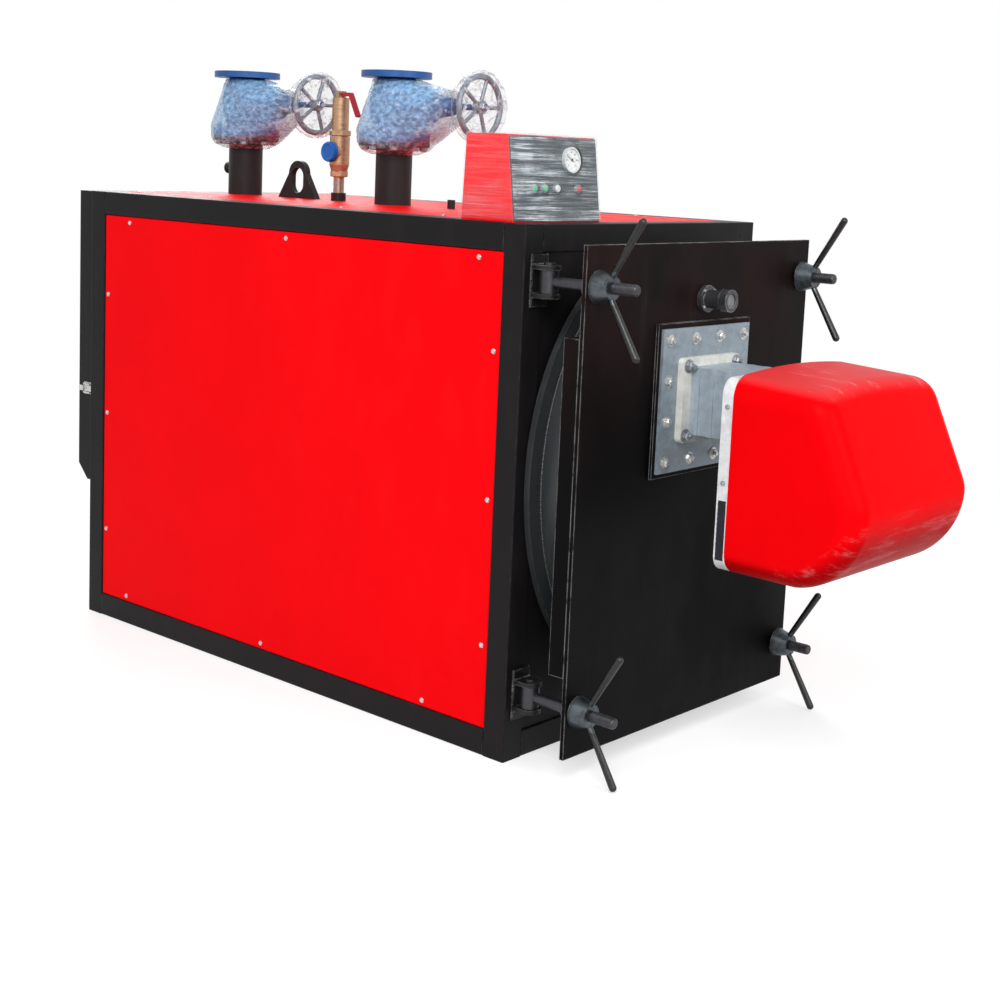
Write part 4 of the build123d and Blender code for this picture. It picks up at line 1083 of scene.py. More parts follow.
class BOILER_OT_valve_bolts(bpy.types.Operator):
    """Bolt the valves to their stubs and the bonnets to the valves, and nut the handwheels"""

    bl_idname = "boiler.valve_bolts"
    bl_label = "Valve bolts"

    def execute(self, context):
        plated = finishes()["fitting_steel"]
        count, bolt_ring, flange = 8, 0.09, 0.02
        bonnet_reach, bonnet_wide, bonnet_tall = 0.11, 0.087, 0.0545
        hub_front = 0.013
        under, over, bonnet = [], [], []
        for place_y in VALVE_PLACES.values():
            for step in range(count):
                angle = math.tau * step / count
                x, y = bolt_ring * math.cos(angle), place_y + bolt_ring * math.sin(angle)
                under.append((Vector((x, y, stub_high.z - flange)), DOWN))
                over.append((Vector((x, y, stub_high.z + flange)), UP))
            face_y = place_y - bonnet_reach
            for spot in upright_ring(bonnet_wide, bonnet_tall, face_y, VALVE_MIDDLE_Z, count, 0.5):
                bonnet.append((spot, FRONT))
        fasteners("valve_bolt_heads", under, "casing", plated, 0.0125, 0.01, washer=1.2, seed=11)
        fasteners("valve_bolt_nuts", over, "casing", plated, 0.0125, 0.011, washer=1.2, end=0.7, seed=12)
        fasteners("bonnet_bolts", bonnet, "casing", plated, 0.0062, 0.0058, washer=1.15, seed=13)
        for label, place_y in VALVE_PLACES.items():
            hub = [(Vector((0, place_y - WHEEL_SETBACK - hub_front, VALVE_MIDDLE_Z)), FRONT)]
            name, body = f"{label}_wheel_nut", f"{label}_wheel"
            fasteners(name, hub, body, plated, 0.0135, 0.0095, washer=1.25, end=0.5, seed=14)
        return {"FINISHED"}


class BOILER_OT_bolt_threads(bpy.types.Operator):
    """Cut the threads of the swing bolts where they show in front of the wing nuts"""

    bl_idname = "boiler.bolt_threads"
    bl_label = "Swing bolt threads"

    def execute(self, context):
        pitch = context.scene.boiler_sizes.thread_pitch
        rod_radius, ridge = 0.0138, 0.0012
        nut_depth, start_gap, end_gap = 0.046, 0.003, 0.006
        groups = {"door": [], "upper_right_bolt": [], "lower_right_bolt": []}
        for label, height in BOLT_HEIGHTS.items():
            groups["door"].append(Vector((-BOLT_X, 0, height)))
            groups[f"{label}_right_bolt"].append(Vector((BOLT_X, 0, height)))
        for body, spots in groups.items():
            nut_node = "upper_left_wing_nut" if body == "door" else body.replace("bolt", "wing_nut")
            nut_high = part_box(nut_node)[1]
            start_y = nut_high.y - nut_depth - start_gap
            eye_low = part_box("left_eyebolts" if body == "door" else body.replace("bolt", "eyebolt"))[0]
            values = {
                "Rod radius": rod_radius,
                "Pitch": pitch,
                "Length": start_y - eye_low.y - end_gap,
                "Ridge": ridge,
                "Finish": finishes()["oxide_steel"],
            }
            source = point_mesh([(Vector((spot.x, start_y, spot.z)), FRONT) for spot in spots])
            grown_piece(f"{body}_threads", body, "Rolled threads", source, values)
        return {"FINISHED"}


class BOILER_OT_rear_bolts(bpy.types.Operator):
    """Bolt the rear cover of the smoke box and the flue flange, and hang the side latches"""

    bl_idname = "boiler.rear_bolts"
    bl_label = "Smoke box fittings"

    def execute(self, context):
        pale = finishes()["screw_pale"]
        inset, lowest_row = 0.03, 0.89
        flue_ring, flue_flange = 0.138, 0.006
        places = []
        for step in range(6):
            x = smoke_low.x + inset + (smoke_high.x - smoke_low.x - inset * 2) * step / 5
            places.append((Vector((x, smoke_high.y, smoke_high.z - inset)), BACK))
            places.append((Vector((x, smoke_high.y, smoke_high.z - lowest_row)), BACK))
        for step in range(1, 5):
            z = smoke_high.z - inset + (inset - lowest_row) * step / 5
            places.append((Vector((smoke_low.x + inset, smoke_high.y, z)), BACK))
            places.append((Vector((smoke_high.x - inset, smoke_high.y, z)), BACK))
        flue_z = ((flue_low + flue_high) / 2).z
        for spot in upright_ring(flue_ring, flue_ring, smoke_high.y + flue_flange, flue_z, 8, 0.5):
            places.append((spot, BACK))
        fasteners("smoke_box_bolts", places, "casing", pale, 0.0085, 0.0065, seed=21)
        latch_y, latch_z = 1.03, 0.733
        blocks = (
            ((0.0, -0.052, -0.02), (0.003, 0.03, 0.02), 0.0012),
            ((0.003, -0.012, -0.017), (0.012, 0.024, -0.012), 0.001),
            ((0.003, -0.012, 0.012), (0.012, 0.024, 0.017), 0.001),
            ((0.006, -0.04, -0.0105), (0.0095, 0.026, 0.0105), 0.0012),
            ((0.0085, 0.018, -0.009), (0.016, 0.042, 0.009), 0.002),
        )
        pin_foot, pin_radius, pin_length = Vector((0.008, 0.014, -0.019)), 0.0032, 0.038
        pin_profile = [(0, 0), (pin_radius, 0), (pin_radius, pin_length), (0, pin_length)]

        def latches(shape):
            for side, face in ((-1, smoke_low.x), (1, smoke_high.x)):
                place = Matrix.Translation((face, latch_y, latch_z)) @ Matrix.Scale(side, 4, (1, 0, 0))
                for low, high, bevel in blocks:
                    add_block(shape, low, high, bevel, place)
                add_lathe(shape, pin_profile, place @ frame_of(pin_foot, UP), 14)

        built_piece("smoke_box_latches", latches, "casing", pale)
        return {"FINISHED"}


class BOILER_OT_rear_cover(bpy.types.Operator):
    """Close the drum's lower end, below the smoke box, with a bolted pressed cover"""

    bl_idname = "boiler.rear_cover"
    bl_label = "Lower rear cover"

    def execute(self, context):
        kept = finishes()
        drum_low, drum_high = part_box("boiler_drum")
        end_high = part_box("end_panels")[1]
        middle_z = (drum_low.z + drum_high.z) / 2
        wide, tall = (drum_high.x - drum_low.x) / 2, (drum_high.z - drum_low.z) / 2
        drain_drop, top_gap = 0.0425, 0.001
        top_z = smoke_low.z + drain_drop - top_gap
        flange = ((0.034, 0.0), (0.034, 0.004), (0.006, 0.0045))
        wall = ((0.0, 0.008), (-0.006, 0.042), (-0.016, 0.05), (-0.05, 0.052))
        bolt_grow, bolt_rise = 0.02, 0.004
        steps = 64

        def outline(grow, rise):
            """One level of the cover: the drum's ellipse, grown and cut off below the smoke box."""
            points = []
            start = math.asin(min(1.0, (middle_z - top_z) / (tall + grow)))
            for step in range(steps + 1):
                angle = math.pi + start + (math.pi - 2 * start) * step / steps
                x = (wide + grow) * math.cos(angle)
                z = middle_z + (tall + grow) * math.sin(angle)
                points.append(Vector((x, end_high.y + rise, z)))
            return points

        def pressed(shape):
            levels = [[shape.verts.new(point) for point in outline(*ring)] for ring in flange + wall]
            for low, high in zip(levels, levels[1:]):
                for step in range(steps):
                    shape.faces.new((low[step], low[step + 1], high[step + 1], high[step]))
            shape.faces.new(levels[-1])
            shape.faces.new([level[0] for level in levels] + [level[-1] for level in reversed(levels)])
            shape.faces.new(levels[0])

        built_piece("rear_lower_cover", pressed, "casing", kept["smoke_box_black"])
        places = [(spot, BACK) for spot in outline(bolt_grow, bolt_rise)[3:steps:6]]
        fasteners("rear_cover_bolts", places, "casing", kept["screw_pale"], 0.0075, 0.006, seed=23)
        return {"FINISHED"}


class BOILER_OT_weld_beads(bpy.types.Operator):
    """Run the weld beads round the bracket feet and the collar"""

    bl_idname = "boiler.weld_beads"
    bl_label = "Weld beads"

    def execute(self, context):
        kept = finishes()
        foot_half, foot_drop, foot_height, foot_depth = 0.031, 0.066, 0.132, 0.002
        lug_half, lug_width, lug_rise, lug_depth = 0.029, 0.058, 0.036 + 0.0062, 0.0075
        collar_depth, collar_half_wide, collar_half_tall = 0.132 - 0.022 - 0.001, 0.4405, 0.5605
        paths = []
        for side in (-1, 1):
            for height in BOLT_HEIGHTS.values():
                middle = side * BOLT_X
                y = bracket_high.y - foot_depth
                for edge in (-foot_half, foot_half):
                    rises = [height - foot_drop + foot_height * k / 8 for k in range(9)]
                    paths.append(([Vector((middle + edge, y, z)) for z in rises], False))
                y = bracket_high.y - lug_depth
                for lug in (-1, 1):
                    z = height + lug * lug_rise
                    across = [middle - lug_half + lug_width * k / 4 for k in range(5)]
                    paths.append(([Vector((x, y, z)) for x in across], False))
        values = {"Bead radius": 0.0034, "Pitch": 0.0042, "Seed": 7, "Finish": kept["arm_black"]}
        grown_piece("bracket_welds", "casing", "Weld beads", path_mesh(paths), values)
        weld_y = collar_low.y + collar_depth
        ring = upright_ring(collar_half_wide, collar_half_tall, weld_y, DRUM_MIDDLE_Z, 180)
        values = {"Bead radius": 0.0042, "Pitch": 0.0034, "Seed": 9, "Finish": kept["collar_black"]}
        grown_piece("collar_weld", "casing", "Weld beads", path_mesh([(ring, True)]), values)
        return {"FINISHED"}


# Films


def hull_shape(shape, points):
    """Adds the closed hull of a cloud of points to a bmesh."""
    verts = [shape.verts.new(point) for point in points]
    made = bmesh.ops.convex_hull(shape, input=verts, use_existing_faces=False)
    spare = made["geom_interior"] + made["geom_unused"]
    inside = [item for item in spare if isinstance(item, bmesh.types.BMVert)]
    bmesh.ops.delete(shape, geom=list(dict.fromkeys(inside)), context="VERTS")


def ring_points(middle, axis, radius_a, radius_b=None, steps=24):
    """Points on an ellipse about an axis; the first radius lies across, the second goes back or up."""
    radius_b = radius_a if radius_b is None else radius_b
    second = BACK if axis == "Z" else UP
    points = []
    for step in range(steps):
        angle = math.tau * step / steps
        points.append(middle + RIGHT * radius_a * math.cos(angle) + second * radius_b * math.sin(angle))
    return points


def crease_at(point, scale, stretch, seed):
    """Height of the film's creases at a point, from 0 to 1: sharp ridges with taut flats between them."""
    drawn = Vector((point.x * stretch[0], point.y * stretch[1], point.z * stretch[2]))
    spot = drawn * scale + Vector((seed, seed * 0.7, 3.1))
    slow = spot * 0.6
    shifts = (Vector((0, 0, 0)), Vector((5.2, 1.3, 8.1)), Vector((2.8, 9.4, 4.6)))
    bent = spot + Vector([noise.noise(slow + shift) for shift in shifts]) * 0.8
    ridge = 1.0 - abs(noise.noise(bent)) * 2.6
    fine = 1.0 - abs(noise.noise(bent * 2.7 + Vector((9, 4, 2)))) * 2.4
    return max(0.0, min(1.0, 0.72 * max(0.0, ridge) ** 2 + 0.5 * max(0.0, fine) ** 2))


def film_mesh(name, hulls, voxel, rounds, crease, scale, stretch, seed, drop, cling):
    """A film stretched over hulls: joined on a grid, relaxed, creased outwards and opened where it is cut.

    The mesh carries two values at each point: crease, and cling, which says how tightly the film lies there.
    """

    def wrapped(shape):
        for points in hulls:
            hull_shape(shape, points)

    holder = bpy.data.objects.new("film_holder", mesh_from(name, wrapped))
    bpy.context.scene.collection.objects.link(holder)
    remesh = holder.modifiers.new("Grid", "REMESH")
    remesh.mode = "VOXEL"
    remesh.voxel_size = voxel
    bpy.context.view_layer.update()
    mesh = bpy.data.meshes.new_from_object(holder.evaluated_get(bpy.context.evaluated_depsgraph_get()))
    bpy.data.objects.remove(holder)
    shape = bmesh.new()
    shape.from_mesh(mesh)
    for _ in range(rounds):
        bmesh.ops.smooth_vert(
            shape, verts=shape.verts, factor=0.5, use_axis_x=True, use_axis_y=True, use_axis_z=True
        )
    shape.normal_update()
    heights = [crease_at(vert.co, scale, stretch, seed) for vert in shape.verts]
    moves = [vert.normal * (height * crease) for vert, height in zip(shape.verts, heights)]
    creased = shape.verts.layers.float.new("crease")
    clinging = shape.verts.layers.float.new("cling")
    for vert, move, height in zip(shape.verts, moves, heights):
        vert.co += move
        vert[creased] = height
        vert[clinging] = cling(vert.co)
    gone = [face for face in shape.faces if drop(face.calc_center_median())]
    bmesh.ops.delete(shape, geom=gone, context="FACES")
    shape.to_mesh(mesh)
    shape.free()
    mesh.shade_smooth()
    mesh.name = name
    return mesh


def clinging_share(reach, rise):
    """How tightly a valve's film lies: tight on body and bonnet, loose at the wheel and under the flange."""
    bonnet_end, fade_reach, fade_drop, slack = 0.2, 0.07, 0.02, 0.75
    past_bonnet = min(1.0, max(0.0, (reach - bonnet_end) / fade_reach))
    under_flange = min(1.0, max(0.0, -rise / fade_drop))
    return (1.0 - past_bonnet) * (1.0 - slack * under_flange)


class BOILER_OT_valve_films(bpy.types.Operator):
    """Wrap each gate valve and its handwheel in creased film"""

    bl_idname = "boiler.valve_films"
    bl_label = "Valve films"

    def execute(self, context):
        sizes = context.scene.boiler_sizes
        low_z = valve_low.z
        stub_mouth = 0.062
        seeds = {"flow": 11.0, "return": 29.0}
        body_levels = (
            (low_z - 0.044, 0.072),
            (low_z - 0.03, 0.106),
            (low_z - 0.008, 0.118),
            (low_z + 0.03, 0.119),
            (valve_high.z - 0.024, 0.072),
        )
        bonnet_levels = ((0.078, 0.104, 0.07), (0.116, 0.104, 0.07), (0.25, 0.044, 0.04), (0.3, 0.034, 0.034))
        wheel_levels = ((0.285, 0.046), (0.326, 0.1), (0.341, 0.107), (0.366, 0.107), (0.384, 0.085))
        wheel_levels += ((0.396, 0.035),)
        for label, place_y in VALVE_PLACES.items():
            spot = Vector((0, place_y, 0))
            skin, wheel = [], []
            for z, radius in body_levels:
                skin.extend(ring_points(spot + Vector((0, 0, z)), "Z", radius))
            for reach, wide, tall in bonnet_levels:
                skin.extend(ring_points(spot + Vector((0, -reach, VALVE_MIDDLE_Z)), "Y", wide, tall))
            for reach, radius in wheel_levels:
                wheel.extend(ring_points(spot + Vector((0, -reach, VALVE_MIDDLE_Z)), "Y", radius))
            mesh = film_mesh(
                f"{label}_valve_film",
                [skin, wheel],
                voxel=sizes.film_voxel,
                rounds=5,
                crease=sizes.film_crease,
                scale=24.0,
                stretch=(1.0, 0.8, 1.0),
                seed=seeds[label],
                drop=lambda point: Vector((point.x, point.y - place_y)).length < stub_mouth,
                cling=lambda point: clinging_share(place_y - point.y, point.z - low_z),
            )
            piece = link_piece(f"{label}_valve_film", mesh, "casing", finishes()["film_valve"])
        return {"FINISHED"}


def gauge_shows(point):
    """Whether the film is cut away at a point in front of the gauge."""
    hole_radius, hole_depth = 0.034, 0.01
    aside = Vector((point.x - GAUGE_MIDDLE.x, point.z - GAUGE_MIDDLE.z)).length
    return aside < hole_radius and point.y < GAUGE_MIDDLE.y + hole_depth


class BOILER_OT_box_film(bpy.types.Operator):
    """Wrap the control box in film with level creases"""

    bl_idname = "boiler.box_film"
    bl_label = "Control box film"

    def execute(self, context):
        low, high = control_low, control_high
        grow, front_grow, foot = 0.004, 0.007, 0.002
        front_lean, back_lean, slope = 0.029, 0.009, 0.13
        hem, front_depth, loose = 0.004, 0.004, 0.2
        gauge_levels = ((0.02, 0.05), (-0.004, 0.042), (-0.0115, 0.036))
        lamp_levels = ((0.012, 0.024), (-0.003, 0.016), (-0.0078, 0.013))
        corners = []
        for x in (low.x - grow, high.x + grow):
            for y, z in (
                (low.y - front_grow, low.z + foot),
                (high.y + grow, low.z + foot),
                (high.y - back_lean + grow, high.z + grow),
                (low.y + front_lean - front_grow, high.z + grow),
            ):
                corners.append(Vector((x, y, z)))
        bulge = []
        for shift, radius in gauge_levels:
            bulge.extend(ring_points(GAUGE_MIDDLE + Vector((0, shift, -shift * slope)), "Y", radius))
        lamp_hulls = []
        for x, _finish in LAMP_PLACES:
            spot = Vector((x, LAMP_Y, LAMP_Z))
            lamp = []
            for shift, radius in lamp_levels:
                lamp.extend(ring_points(spot + Vector((0, shift, -shift * slope)), "Y", radius, steps=16))
            lamp_hulls.append(lamp)

        def on_front(point):
            return point.y < low.y + front_lean + front_depth and low.x < point.x < high.x

        mesh = film_mesh(
            "control_box_film",
            [corners, bulge, *lamp_hulls],
            voxel=0.0045,
            rounds=2,
            crease=0.0012,
            scale=17.0,
            stretch=(0.3, 0.5, 3.0),
            seed=17.0,
            drop=lambda point: point.z < low.z + hem or gauge_shows(point),
            cling=lambda point: 1.0 if on_front(point) else loose,
        )
        piece = link_piece("control_box_film", mesh, "casing", finishes()["film_box"])
        return {"FINISHED"}


# Small fittings


class BOILER_OT_outlet_cap(bpy.types.Operator):
    """Plug the safety valve's outlet with its blue cap, and set its hexagons and the thread under it"""

    bl_idname = "boiler.outlet_cap"
    bl_label = "Safety valve cap"

    def execute(self, context):
        kept = finishes()
        nipple_height, outlet_rise, outlet_depth = 0.05, 0.08, 0.018
        rib_count, rib_bevel = 22, 0.0004
        rib_low, rib_high = (0.0308, -0.0011, 0.002), (0.0326, 0.0011, 0.0155)
        outlet_z = safety_low.z + nipple_height + outlet_rise
        place = frame_of(Vector((safety_low.x + outlet_depth, SAFETY_Y, outlet_z)), LEFT)
        cap_side = [(0.0274, 0.0), (0.0305, 0.0), (0.0315, 0.0012), (0.0315, 0.016), (0.0302, 0.0195)]
        cap_end = [(0.027, 0.0205), (0.022, 0.0198), (0.0205, 0.0185), (0.0, 0.018)]

        def cap(shape):
            add_lathe(shape, cap_side + cap_end, place, 44)
            for step in range(rib_count):
                rib = place @ Matrix.Rotation(math.tau * step / rib_count, 4, "Z")
                add_block(shape, rib_low, rib_high, rib_bevel, rib)

        built_piece("outlet_cap", cap, "casing", kept["cap_blue"])
        lower_hexagon = (safety_low.z + nipple_height + 0.001, 0.0295, 0.02)
        upper_hexagon = (safety_low.z + nipple_height + 0.131, 0.036, 0.018)
        inner_share, chamfer_share, chamfer = 0.72, 0.93, 0.0022

        def hexagons(shape):
            for z, radius, height in (lower_hexagon, upper_hexagon):
                profile = [(radius * inner_share, 0), (radius * chamfer_share, 0), (radius, chamfer)]
                profile += [(radius, height - chamfer), (radius * chamfer_share, height)]
                profile += [(radius * inner_share, height)]
                add_lathe(shape, profile, Matrix.Translation((0, SAFETY_Y, z)), 6)

        built_piece("safety_hexagons", hexagons, "casing", kept["brass_body"], degrees=None)
        thread_gap = 0.002
        source = point_mesh([(Vector((0, SAFETY_Y, safety_low.z + thread_gap)), UP)])
        values = {"Rod radius": 0.0168, "Pitch": 0.0024, "Length": 0.044, "Ridge": 0.0009}
        values["Finish"] = kept["fitting_steel"]
        grown_piece("nipple_threads", "casing", "Rolled threads", source, values)
        return {"FINISHED"}


def dial_frame():
    """Matrix of the gauge from the dial's middle: local X to the right, Y up the fascia, Z out of it."""
    fascia_height, fascia_lean = 0.222, 0.029
    out = Vector((0, -fascia_height, fascia_lean)).normalized()
    rise = RIGHT.cross(out) * -1
    turn = Matrix((RIGHT, rise, out)).transposed().to_4x4()
    return Matrix.Translation(GAUGE_MIDDLE) @ turn


class BOILER_OT_gauge(bpy.types.Operator):
    """Fit the gauge's dial, marks, numbers, pointer and glass"""

    bl_idname = "boiler.gauge"
    bl_label = "Gauge"

    def execute(self, context):
        kept = finishes()
        ink = kept["dial_ink"]
        seat, mark_rise, pointer_rise, glass_rise = 0.0007, 0.0007, 0.0016, 0.0034
        dial_radius, dial_thickness, glass_radius = 0.0298, 0.0006, 0.0297
        start, sweep, number_step, number_ring = -45, 270, 45, 0.0198
        pointer_angle = 150

        def raised(height):
            """The dial's frame at a height above the gauge's middle."""
            return dial_frame() @ Matrix.Translation((0, 0, height))

        def dial(shape):
            profile = [(0, 0), (dial_radius, 0), (dial_radius, dial_thickness), (0, dial_thickness)]
            add_lathe(shape, profile, raised(seat), 48)

        built_piece("gauge_dial", dial, "casing", kept["dial_white"])
        major, minor = ("major", 7, 0.0262, 0.005, 0.0011), ("minor", 31, 0.0274, 0.0026, 0.0005)
        for label, count, ring, length, width in (major, minor):
            values = {
                "Count": count,
                "Start": math.radians(start),
                "Sweep": math.radians(sweep),
                "Ring radius": ring,
                "Mark length": length,
                "Mark width": width,
                "Mark depth": 0.0003,
                "Finish": ink,
            }
            mesh = grown("Dial marks", bpy.data.meshes.new("dial_source"), values)
            mesh.transform(raised(seat + mark_rise))
            link_piece(f"gauge_marks_{label}", mesh, "casing")
        numbers = bmesh.new()
        for step, figure in enumerate(("120", "100", "80", "60", "40", "20", "0")):
            angle = math.radians(start + number_step * step)
            words = bpy.data.curves.new("figure", "FONT")
            words.body = figure
            words.size = 0.0062
            words.extrude = 0.0001
            words.align_x = "CENTER"
            words.align_y = "CENTER"
            holder = bpy.data.objects.new("figure", words)
            bpy.context.scene.collection.objects.link(holder)
            bpy.context.view_layer.update()
            evaluated = holder.evaluated_get(bpy.context.evaluated_depsgraph_get())
            letter = bpy.data.meshes.new_from_object(evaluated)
            bpy.data.objects.remove(holder)
            spot = (number_ring * math.cos(angle), number_ring * math.sin(angle), seat + mark_rise)
            letter.transform(dial_frame() @ Matrix.Translation(spot))
            numbers.from_mesh(letter)
            bpy.data.meshes.remove(letter)
        mesh = bpy.data.meshes.new("gauge_numbers")
        numbers.to_mesh(mesh)
        numbers.free()
        link_piece("gauge_numbers", mesh, "casing", ink)

        def pointer(shape):
            swing = raised(seat + pointer_rise) @ Matrix.Rotation(math.radians(pointer_angle), 4, "Z")
            hub = [(0, 0), (0.0042, 0), (0.0042, 0.0012), (0.003, 0.0018), (0, 0.0018)]
            add_lathe(shape, hub, swing, 24)
            add_block(shape, (-0.009, -0.0011, 0.0002), (0.0225, 0.0011, 0.0009), 0.0003, swing)

        built_piece("gauge_pointer", pointer, "casing", ink, degrees=None)

        def cover(shape):
            profile = [(0, 0), (glass_radius, 0), (glass_radius, 0.0004), (0.02, 0.0009), (0, 0.0011)]
            add_lathe(shape, profile, raised(seat + glass_rise), 48)

        built_piece("gauge_glass", cover, "casing", kept["glass"])
        return {"FINISHED"}


class BOILER_OT_lamps(bpy.types.Operator):
    """Fit the coloured lenses of the four lamps on the fascia"""

    bl_idname = "boiler.lamps"
    bl_label = "Lamps"

    def execute(self, context):
        kept = finishes()
        turn = dial_frame().to_3x3().to_4x4()
        lens_rise = 0.0035
        profile = [(0, 0.0), (0.0095, 0.0), (0.0098, 0.0008), (0.0096, 0.0022), (0.0082, 0.0036)]
        profile += [(0.005, 0.0046), (0, 0.005)]
        for number, (x, finish) in enumerate(LAMP_PLACES):
            middle = Vector((x, LAMP_Y, LAMP_Z))
            place = Matrix.Translation(middle) @ turn @ Matrix.Translation((0, 0, lens_rise))

            def lens(shape):
                add_lathe(shape, profile, place, 28)

            built_piece(f"lamp_{number}", lens, "casing", kept[finish], degrees=60)
        return {"FINISHED"}


class BOILER_OT_sight_lens(bpy.types.Operator):
    """Close the sight glass with its lens"""

    bl_idname = "boiler.sight_lens"
    bl_label = "Sight lens"

    def execute(self, context):
        lens_depth = 0.0058
        place = frame_of(Vector((0, sight_low.y + lens_depth, SIGHT_MIDDLE_Z)), FRONT)

        def lens(shape):
            profile = [(0, 0), (0.0186, 0), (0.0186, 0.002), (0.015, 0.0034), (0.008, 0.0042), (0, 0.0045)]
            add_lathe(shape, profile, place, 36)

        built_piece("sight_lens", lens, "door", finishes()["glass"], degrees=50)
        return {"FINISHED"}


class BOILER_OT_vent_slats(bpy.types.Operator):
    """Fill the air vents low on the burner base with slats"""

    bl_idname = "boiler.vent_slats"
    bl_label = "Vent slats"

    def execute(self, context):
        count, vent_foot, vent_height, sink = 12, 0.03, 0.15, 0.0018
        middle_y = (base_low.y + base_high.y) / 2
        foot = base_low.z + vent_foot
        places = []
        for x, out in ((base_low.x + sink, LEFT), (base_high.x - sink, RIGHT)):
            for step in range(count):
                places.append((Vector((x, middle_y, foot + vent_height * (step + 0.5) / count)), out))
        values = {"Length": 0.013, "Width": 0.0236, "Depth": 0.0008, "Tilt": math.radians(10)}
        values["Finish"] = finishes()["vent_dark"]
        grown_piece("vent_slats", "door", "Vent slats", point_mesh(places), values)
        return {"FINISHED"}


class BOILER_OT_door_rope(bpy.types.Operator):
    """Lay the fibre sealing rope round the door lining where it meets the collar"""

    bl_idname = "boiler.door_rope"
    bl_label = "Door sealing rope"

    def execute(self, context):
        seat, half_wide, half_tall = 0.0045, 0.4335, 0.5535
        steps, strands, twists = 240, 3, 20
        strand_radius, spread_out, spread_front = 0.0028, 0.0022, 0.0016

        def rope(shape):
            points = upright_ring(half_wide, half_tall, collar_low.y - seat, DRUM_MIDDLE_Z, steps)
            for strand in range(strands):
                twisted = []
                for step, point in enumerate(points):
                    turn = math.tau * (step * twists / steps + strand / strands)
                    outwards = Vector((point.x, 0, point.z - DRUM_MIDDLE_Z)).normalized()
                    aside = outwards * spread_out * math.cos(turn)
                    twisted.append(point + aside + FRONT * spread_front * math.sin(turn))
                add_tube(shape, twisted, strand_radius, 7, closed=True)

        mesh = mesh_from("door_rope", rope)
        mesh.shade_smooth()
        link_piece("door_rope", mesh, "door", finishes()["rope_white"])
        return {"FINISHED"}


# Stage


def seen_directly(tree):
    """1 for rays of the camera, of reflections and of glass, and 0 for the light that spreads."""
    rays = tree.nodes.new("ShaderNodeLightPath").outputs
    seen = sum_of(tree, rays["Is Camera Ray"], rays["Is Glossy Ray"], "MAXIMUM")
    return sum_of(tree, seen, rays["Is Transmission Ray"], "MAXIMUM")


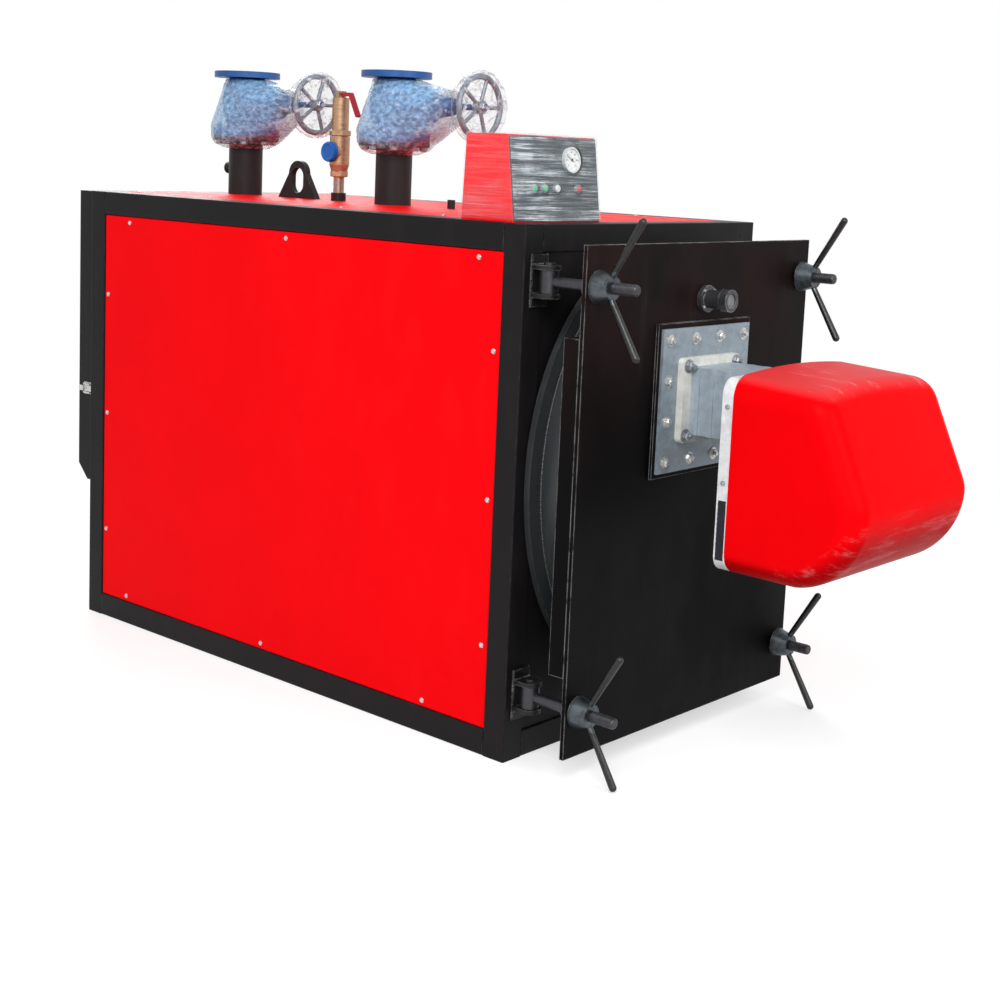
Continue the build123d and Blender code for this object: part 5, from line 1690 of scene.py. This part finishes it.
class BOILER_OT_stage(bpy.types.Operator):
    """Set the pale floor, the soft lights and the camera"""

    bl_idname = "boiler.stage"
    bl_label = "Studio stage"

    def execute(self, context):
        scene = context.scene
        scene.view_settings.view_transform = "Standard"
        self.floor()
        self.world(scene)
        for name, spot, aim, size, watts in (
            ("key_light", (-4.2, -3.4, 4.4), (0, -0.2, 0.8), 3.4, 270),
            ("front_light", (-0.6, -6.0, 3.2), (0, -0.6, 0.8), 3.0, 105),
            ("rear_light", (2.6, 4.4, 3.8), (0, 0.2, 0.9), 3.2, 160),
        ):
            lamp = bpy.data.lights.new(name, "AREA")
            lamp.shape = "DISK"
            lamp.size = size
            lamp.energy = watts
            holder = bpy.data.objects.new(name, lamp)
            holder.location = spot
            holder.rotation_euler = (Vector(aim) - Vector(spot)).to_track_quat("-Z", "Y").to_euler()
            scene.collection.objects.link(holder)
        self.camera(scene)
        return {"FINISHED"}

    def floor(self):
        """A large pale disc that keeps the shadow and turns plain white away from the boiler."""
        radius, sunk = 60, 0.0006
        shadow_end, white_start = 1.6, 4.2

        def disc(shape):
            bmesh.ops.create_circle(shape, cap_ends=True, radius=radius, segments=96)

        mesh = mesh_from("studio_floor", disc)
        for vert in mesh.vertices:
            vert.co.z = -sunk
        if mesh.polygons[0].normal.z < 0:
            mesh.flip_normals()
        floor = bpy.data.objects.new("studio_floor", mesh)
        bpy.context.scene.collection.objects.link(floor)
        made = bpy.data.materials.new("pale_floor")
        made.use_nodes = True
        tree = made.node_tree
        tree.nodes.clear()
        end = tree.nodes.new("ShaderNodeOutputMaterial")
        place = tree.nodes.new("ShaderNodeTexCoord").outputs["Object"]
        reach = node_in(tree, "ShaderNodeVectorMath", {0: place}, operation="LENGTH").outputs["Value"]
        limits = {0: reach, 1: shadow_end, 2: white_start}
        far = out_of(tree, "ShaderNodeMapRange", limits, interpolation_type="SMOOTHSTEP")
        seen = seen_directly(tree)

        def glow(strength):
            """White that only shows where the floor is seen."""
            share = sum_of(tree, seen, strength, "MULTIPLY")
            return out_of(tree, "ShaderNodeEmission", {"Color": (1, 1, 1, 1), "Strength": share})

        matt = out_of(tree, "ShaderNodeBsdfDiffuse", {"Color": (0.5, 0.5, 0.5, 1)})
        near = out_of(tree, "ShaderNodeAddShader", {0: matt, 1: glow(0.56)})
        share = sum_of(tree, far, seen, "MULTIPLY")
        mixed = out_of(tree, "ShaderNodeMixShader", {0: share, 1: near, 2: glow(1.0)})
        tree.links.new(mixed, end.inputs["Surface"])
        mesh.materials.append(made)

    def world(self, scene):
        """Even white light, with plain white behind the boiler and in its reflections."""
        world = bpy.data.worlds.new("studio")
        scene.world = world
        world.use_nodes = True
        tree = world.node_tree
        tree.nodes.clear()
        end = tree.nodes.new("ShaderNodeOutputWorld")
        soft, white = (
            out_of(tree, "ShaderNodeBackground", {"Color": (1, 1, 1, 1), "Strength": strength})
            for strength in (0.62, 1.0)
        )
        mixed = out_of(tree, "ShaderNodeMixShader", {0: seen_directly(tree), 1: soft, 2: white})
        tree.links.new(mixed, end.inputs["Surface"])

    def camera(self, scene):
        """The camera at the photograph's viewpoint, with its slight roll and off-centre frame."""
        azimuth, elevation, roll = math.radians(-48.06), math.radians(7.80), math.radians(2.31)
        flat = math.cos(elevation)
        back = Vector((math.sin(azimuth) * flat, -math.cos(azimuth) * flat, math.sin(elevation)))
        level = Vector((math.cos(azimuth), math.sin(azimuth), 0))
        rise = back.cross(level)
        across = level * math.cos(roll) + rise * math.sin(roll)
        upward = rise * math.cos(roll) - level * math.sin(roll)
        lens = bpy.data.cameras.new("camera")
        lens.sensor_width = 36
        lens.lens = 58.26
        lens.shift_x = 0.0228
        lens.shift_y = -0.1246
        lens.clip_end = 200
        camera = bpy.data.objects.new("camera", lens)
        place = Matrix((across, upward, back)).transposed().to_4x4()
        place.translation = Vector((-3.594, -3.548, 1.569))
        camera.matrix_world = place
        scene.collection.objects.link(camera)
        scene.camera = camera


OPERATORS = (
    BOILER_OT_stage,
    BOILER_OT_finishes,
    BOILER_OT_panel_screws,
    BOILER_OT_burner_bolts,
    BOILER_OT_valve_bolts,
    BOILER_OT_bolt_threads,
    BOILER_OT_rear_bolts,
    BOILER_OT_rear_cover,
    BOILER_OT_weld_beads,
    BOILER_OT_outlet_cap,
    BOILER_OT_gauge,
    BOILER_OT_lamps,
    BOILER_OT_sight_lens,
    BOILER_OT_vent_slats,
    BOILER_OT_door_rope,
    BOILER_OT_valve_films,
    BOILER_OT_box_film,
)


class BOILER_PT_dressing(bpy.types.Panel):
    """Lists the boiler's dressing steps and the values that they read"""

    bl_idname = "BOILER_PT_dressing"
    bl_label = "Boiler"
    bl_space_type = "VIEW_3D"
    bl_region_type = "UI"
    bl_category = "Boiler"

    def draw(self, context):
        layout = self.layout
        for operator in OPERATORS:
            layout.operator(operator.bl_idname)
        for group in (context.scene.boiler_colours, context.scene.boiler_sizes):
            box = layout.box()
            for label in group.__annotations__:
                box.prop(group, label)


CLASSES = (BOILER_PG_colours, BOILER_PG_sizes, *OPERATORS, BOILER_PT_dressing)


def register():
    """Registers the classes and hangs their values on the scene."""
    for kind in CLASSES:
        bpy.utils.register_class(kind)
    bpy.types.Scene.boiler_colours = bpy.props.PointerProperty(type=BOILER_PG_colours)
    bpy.types.Scene.boiler_sizes = bpy.props.PointerProperty(type=BOILER_PG_sizes)


def unregister():
    """Takes the values and the classes away again."""
    del bpy.types.Scene.boiler_sizes
    del bpy.types.Scene.boiler_colours
    for kind in reversed(CLASSES):
        bpy.utils.unregister_class(kind)


def main():
    register()
    for operator in OPERATORS:
        group, name = operator.bl_idname.split(".")
        getattr(getattr(bpy.ops, group), name)()


if __name__ == "__main__":
    main()
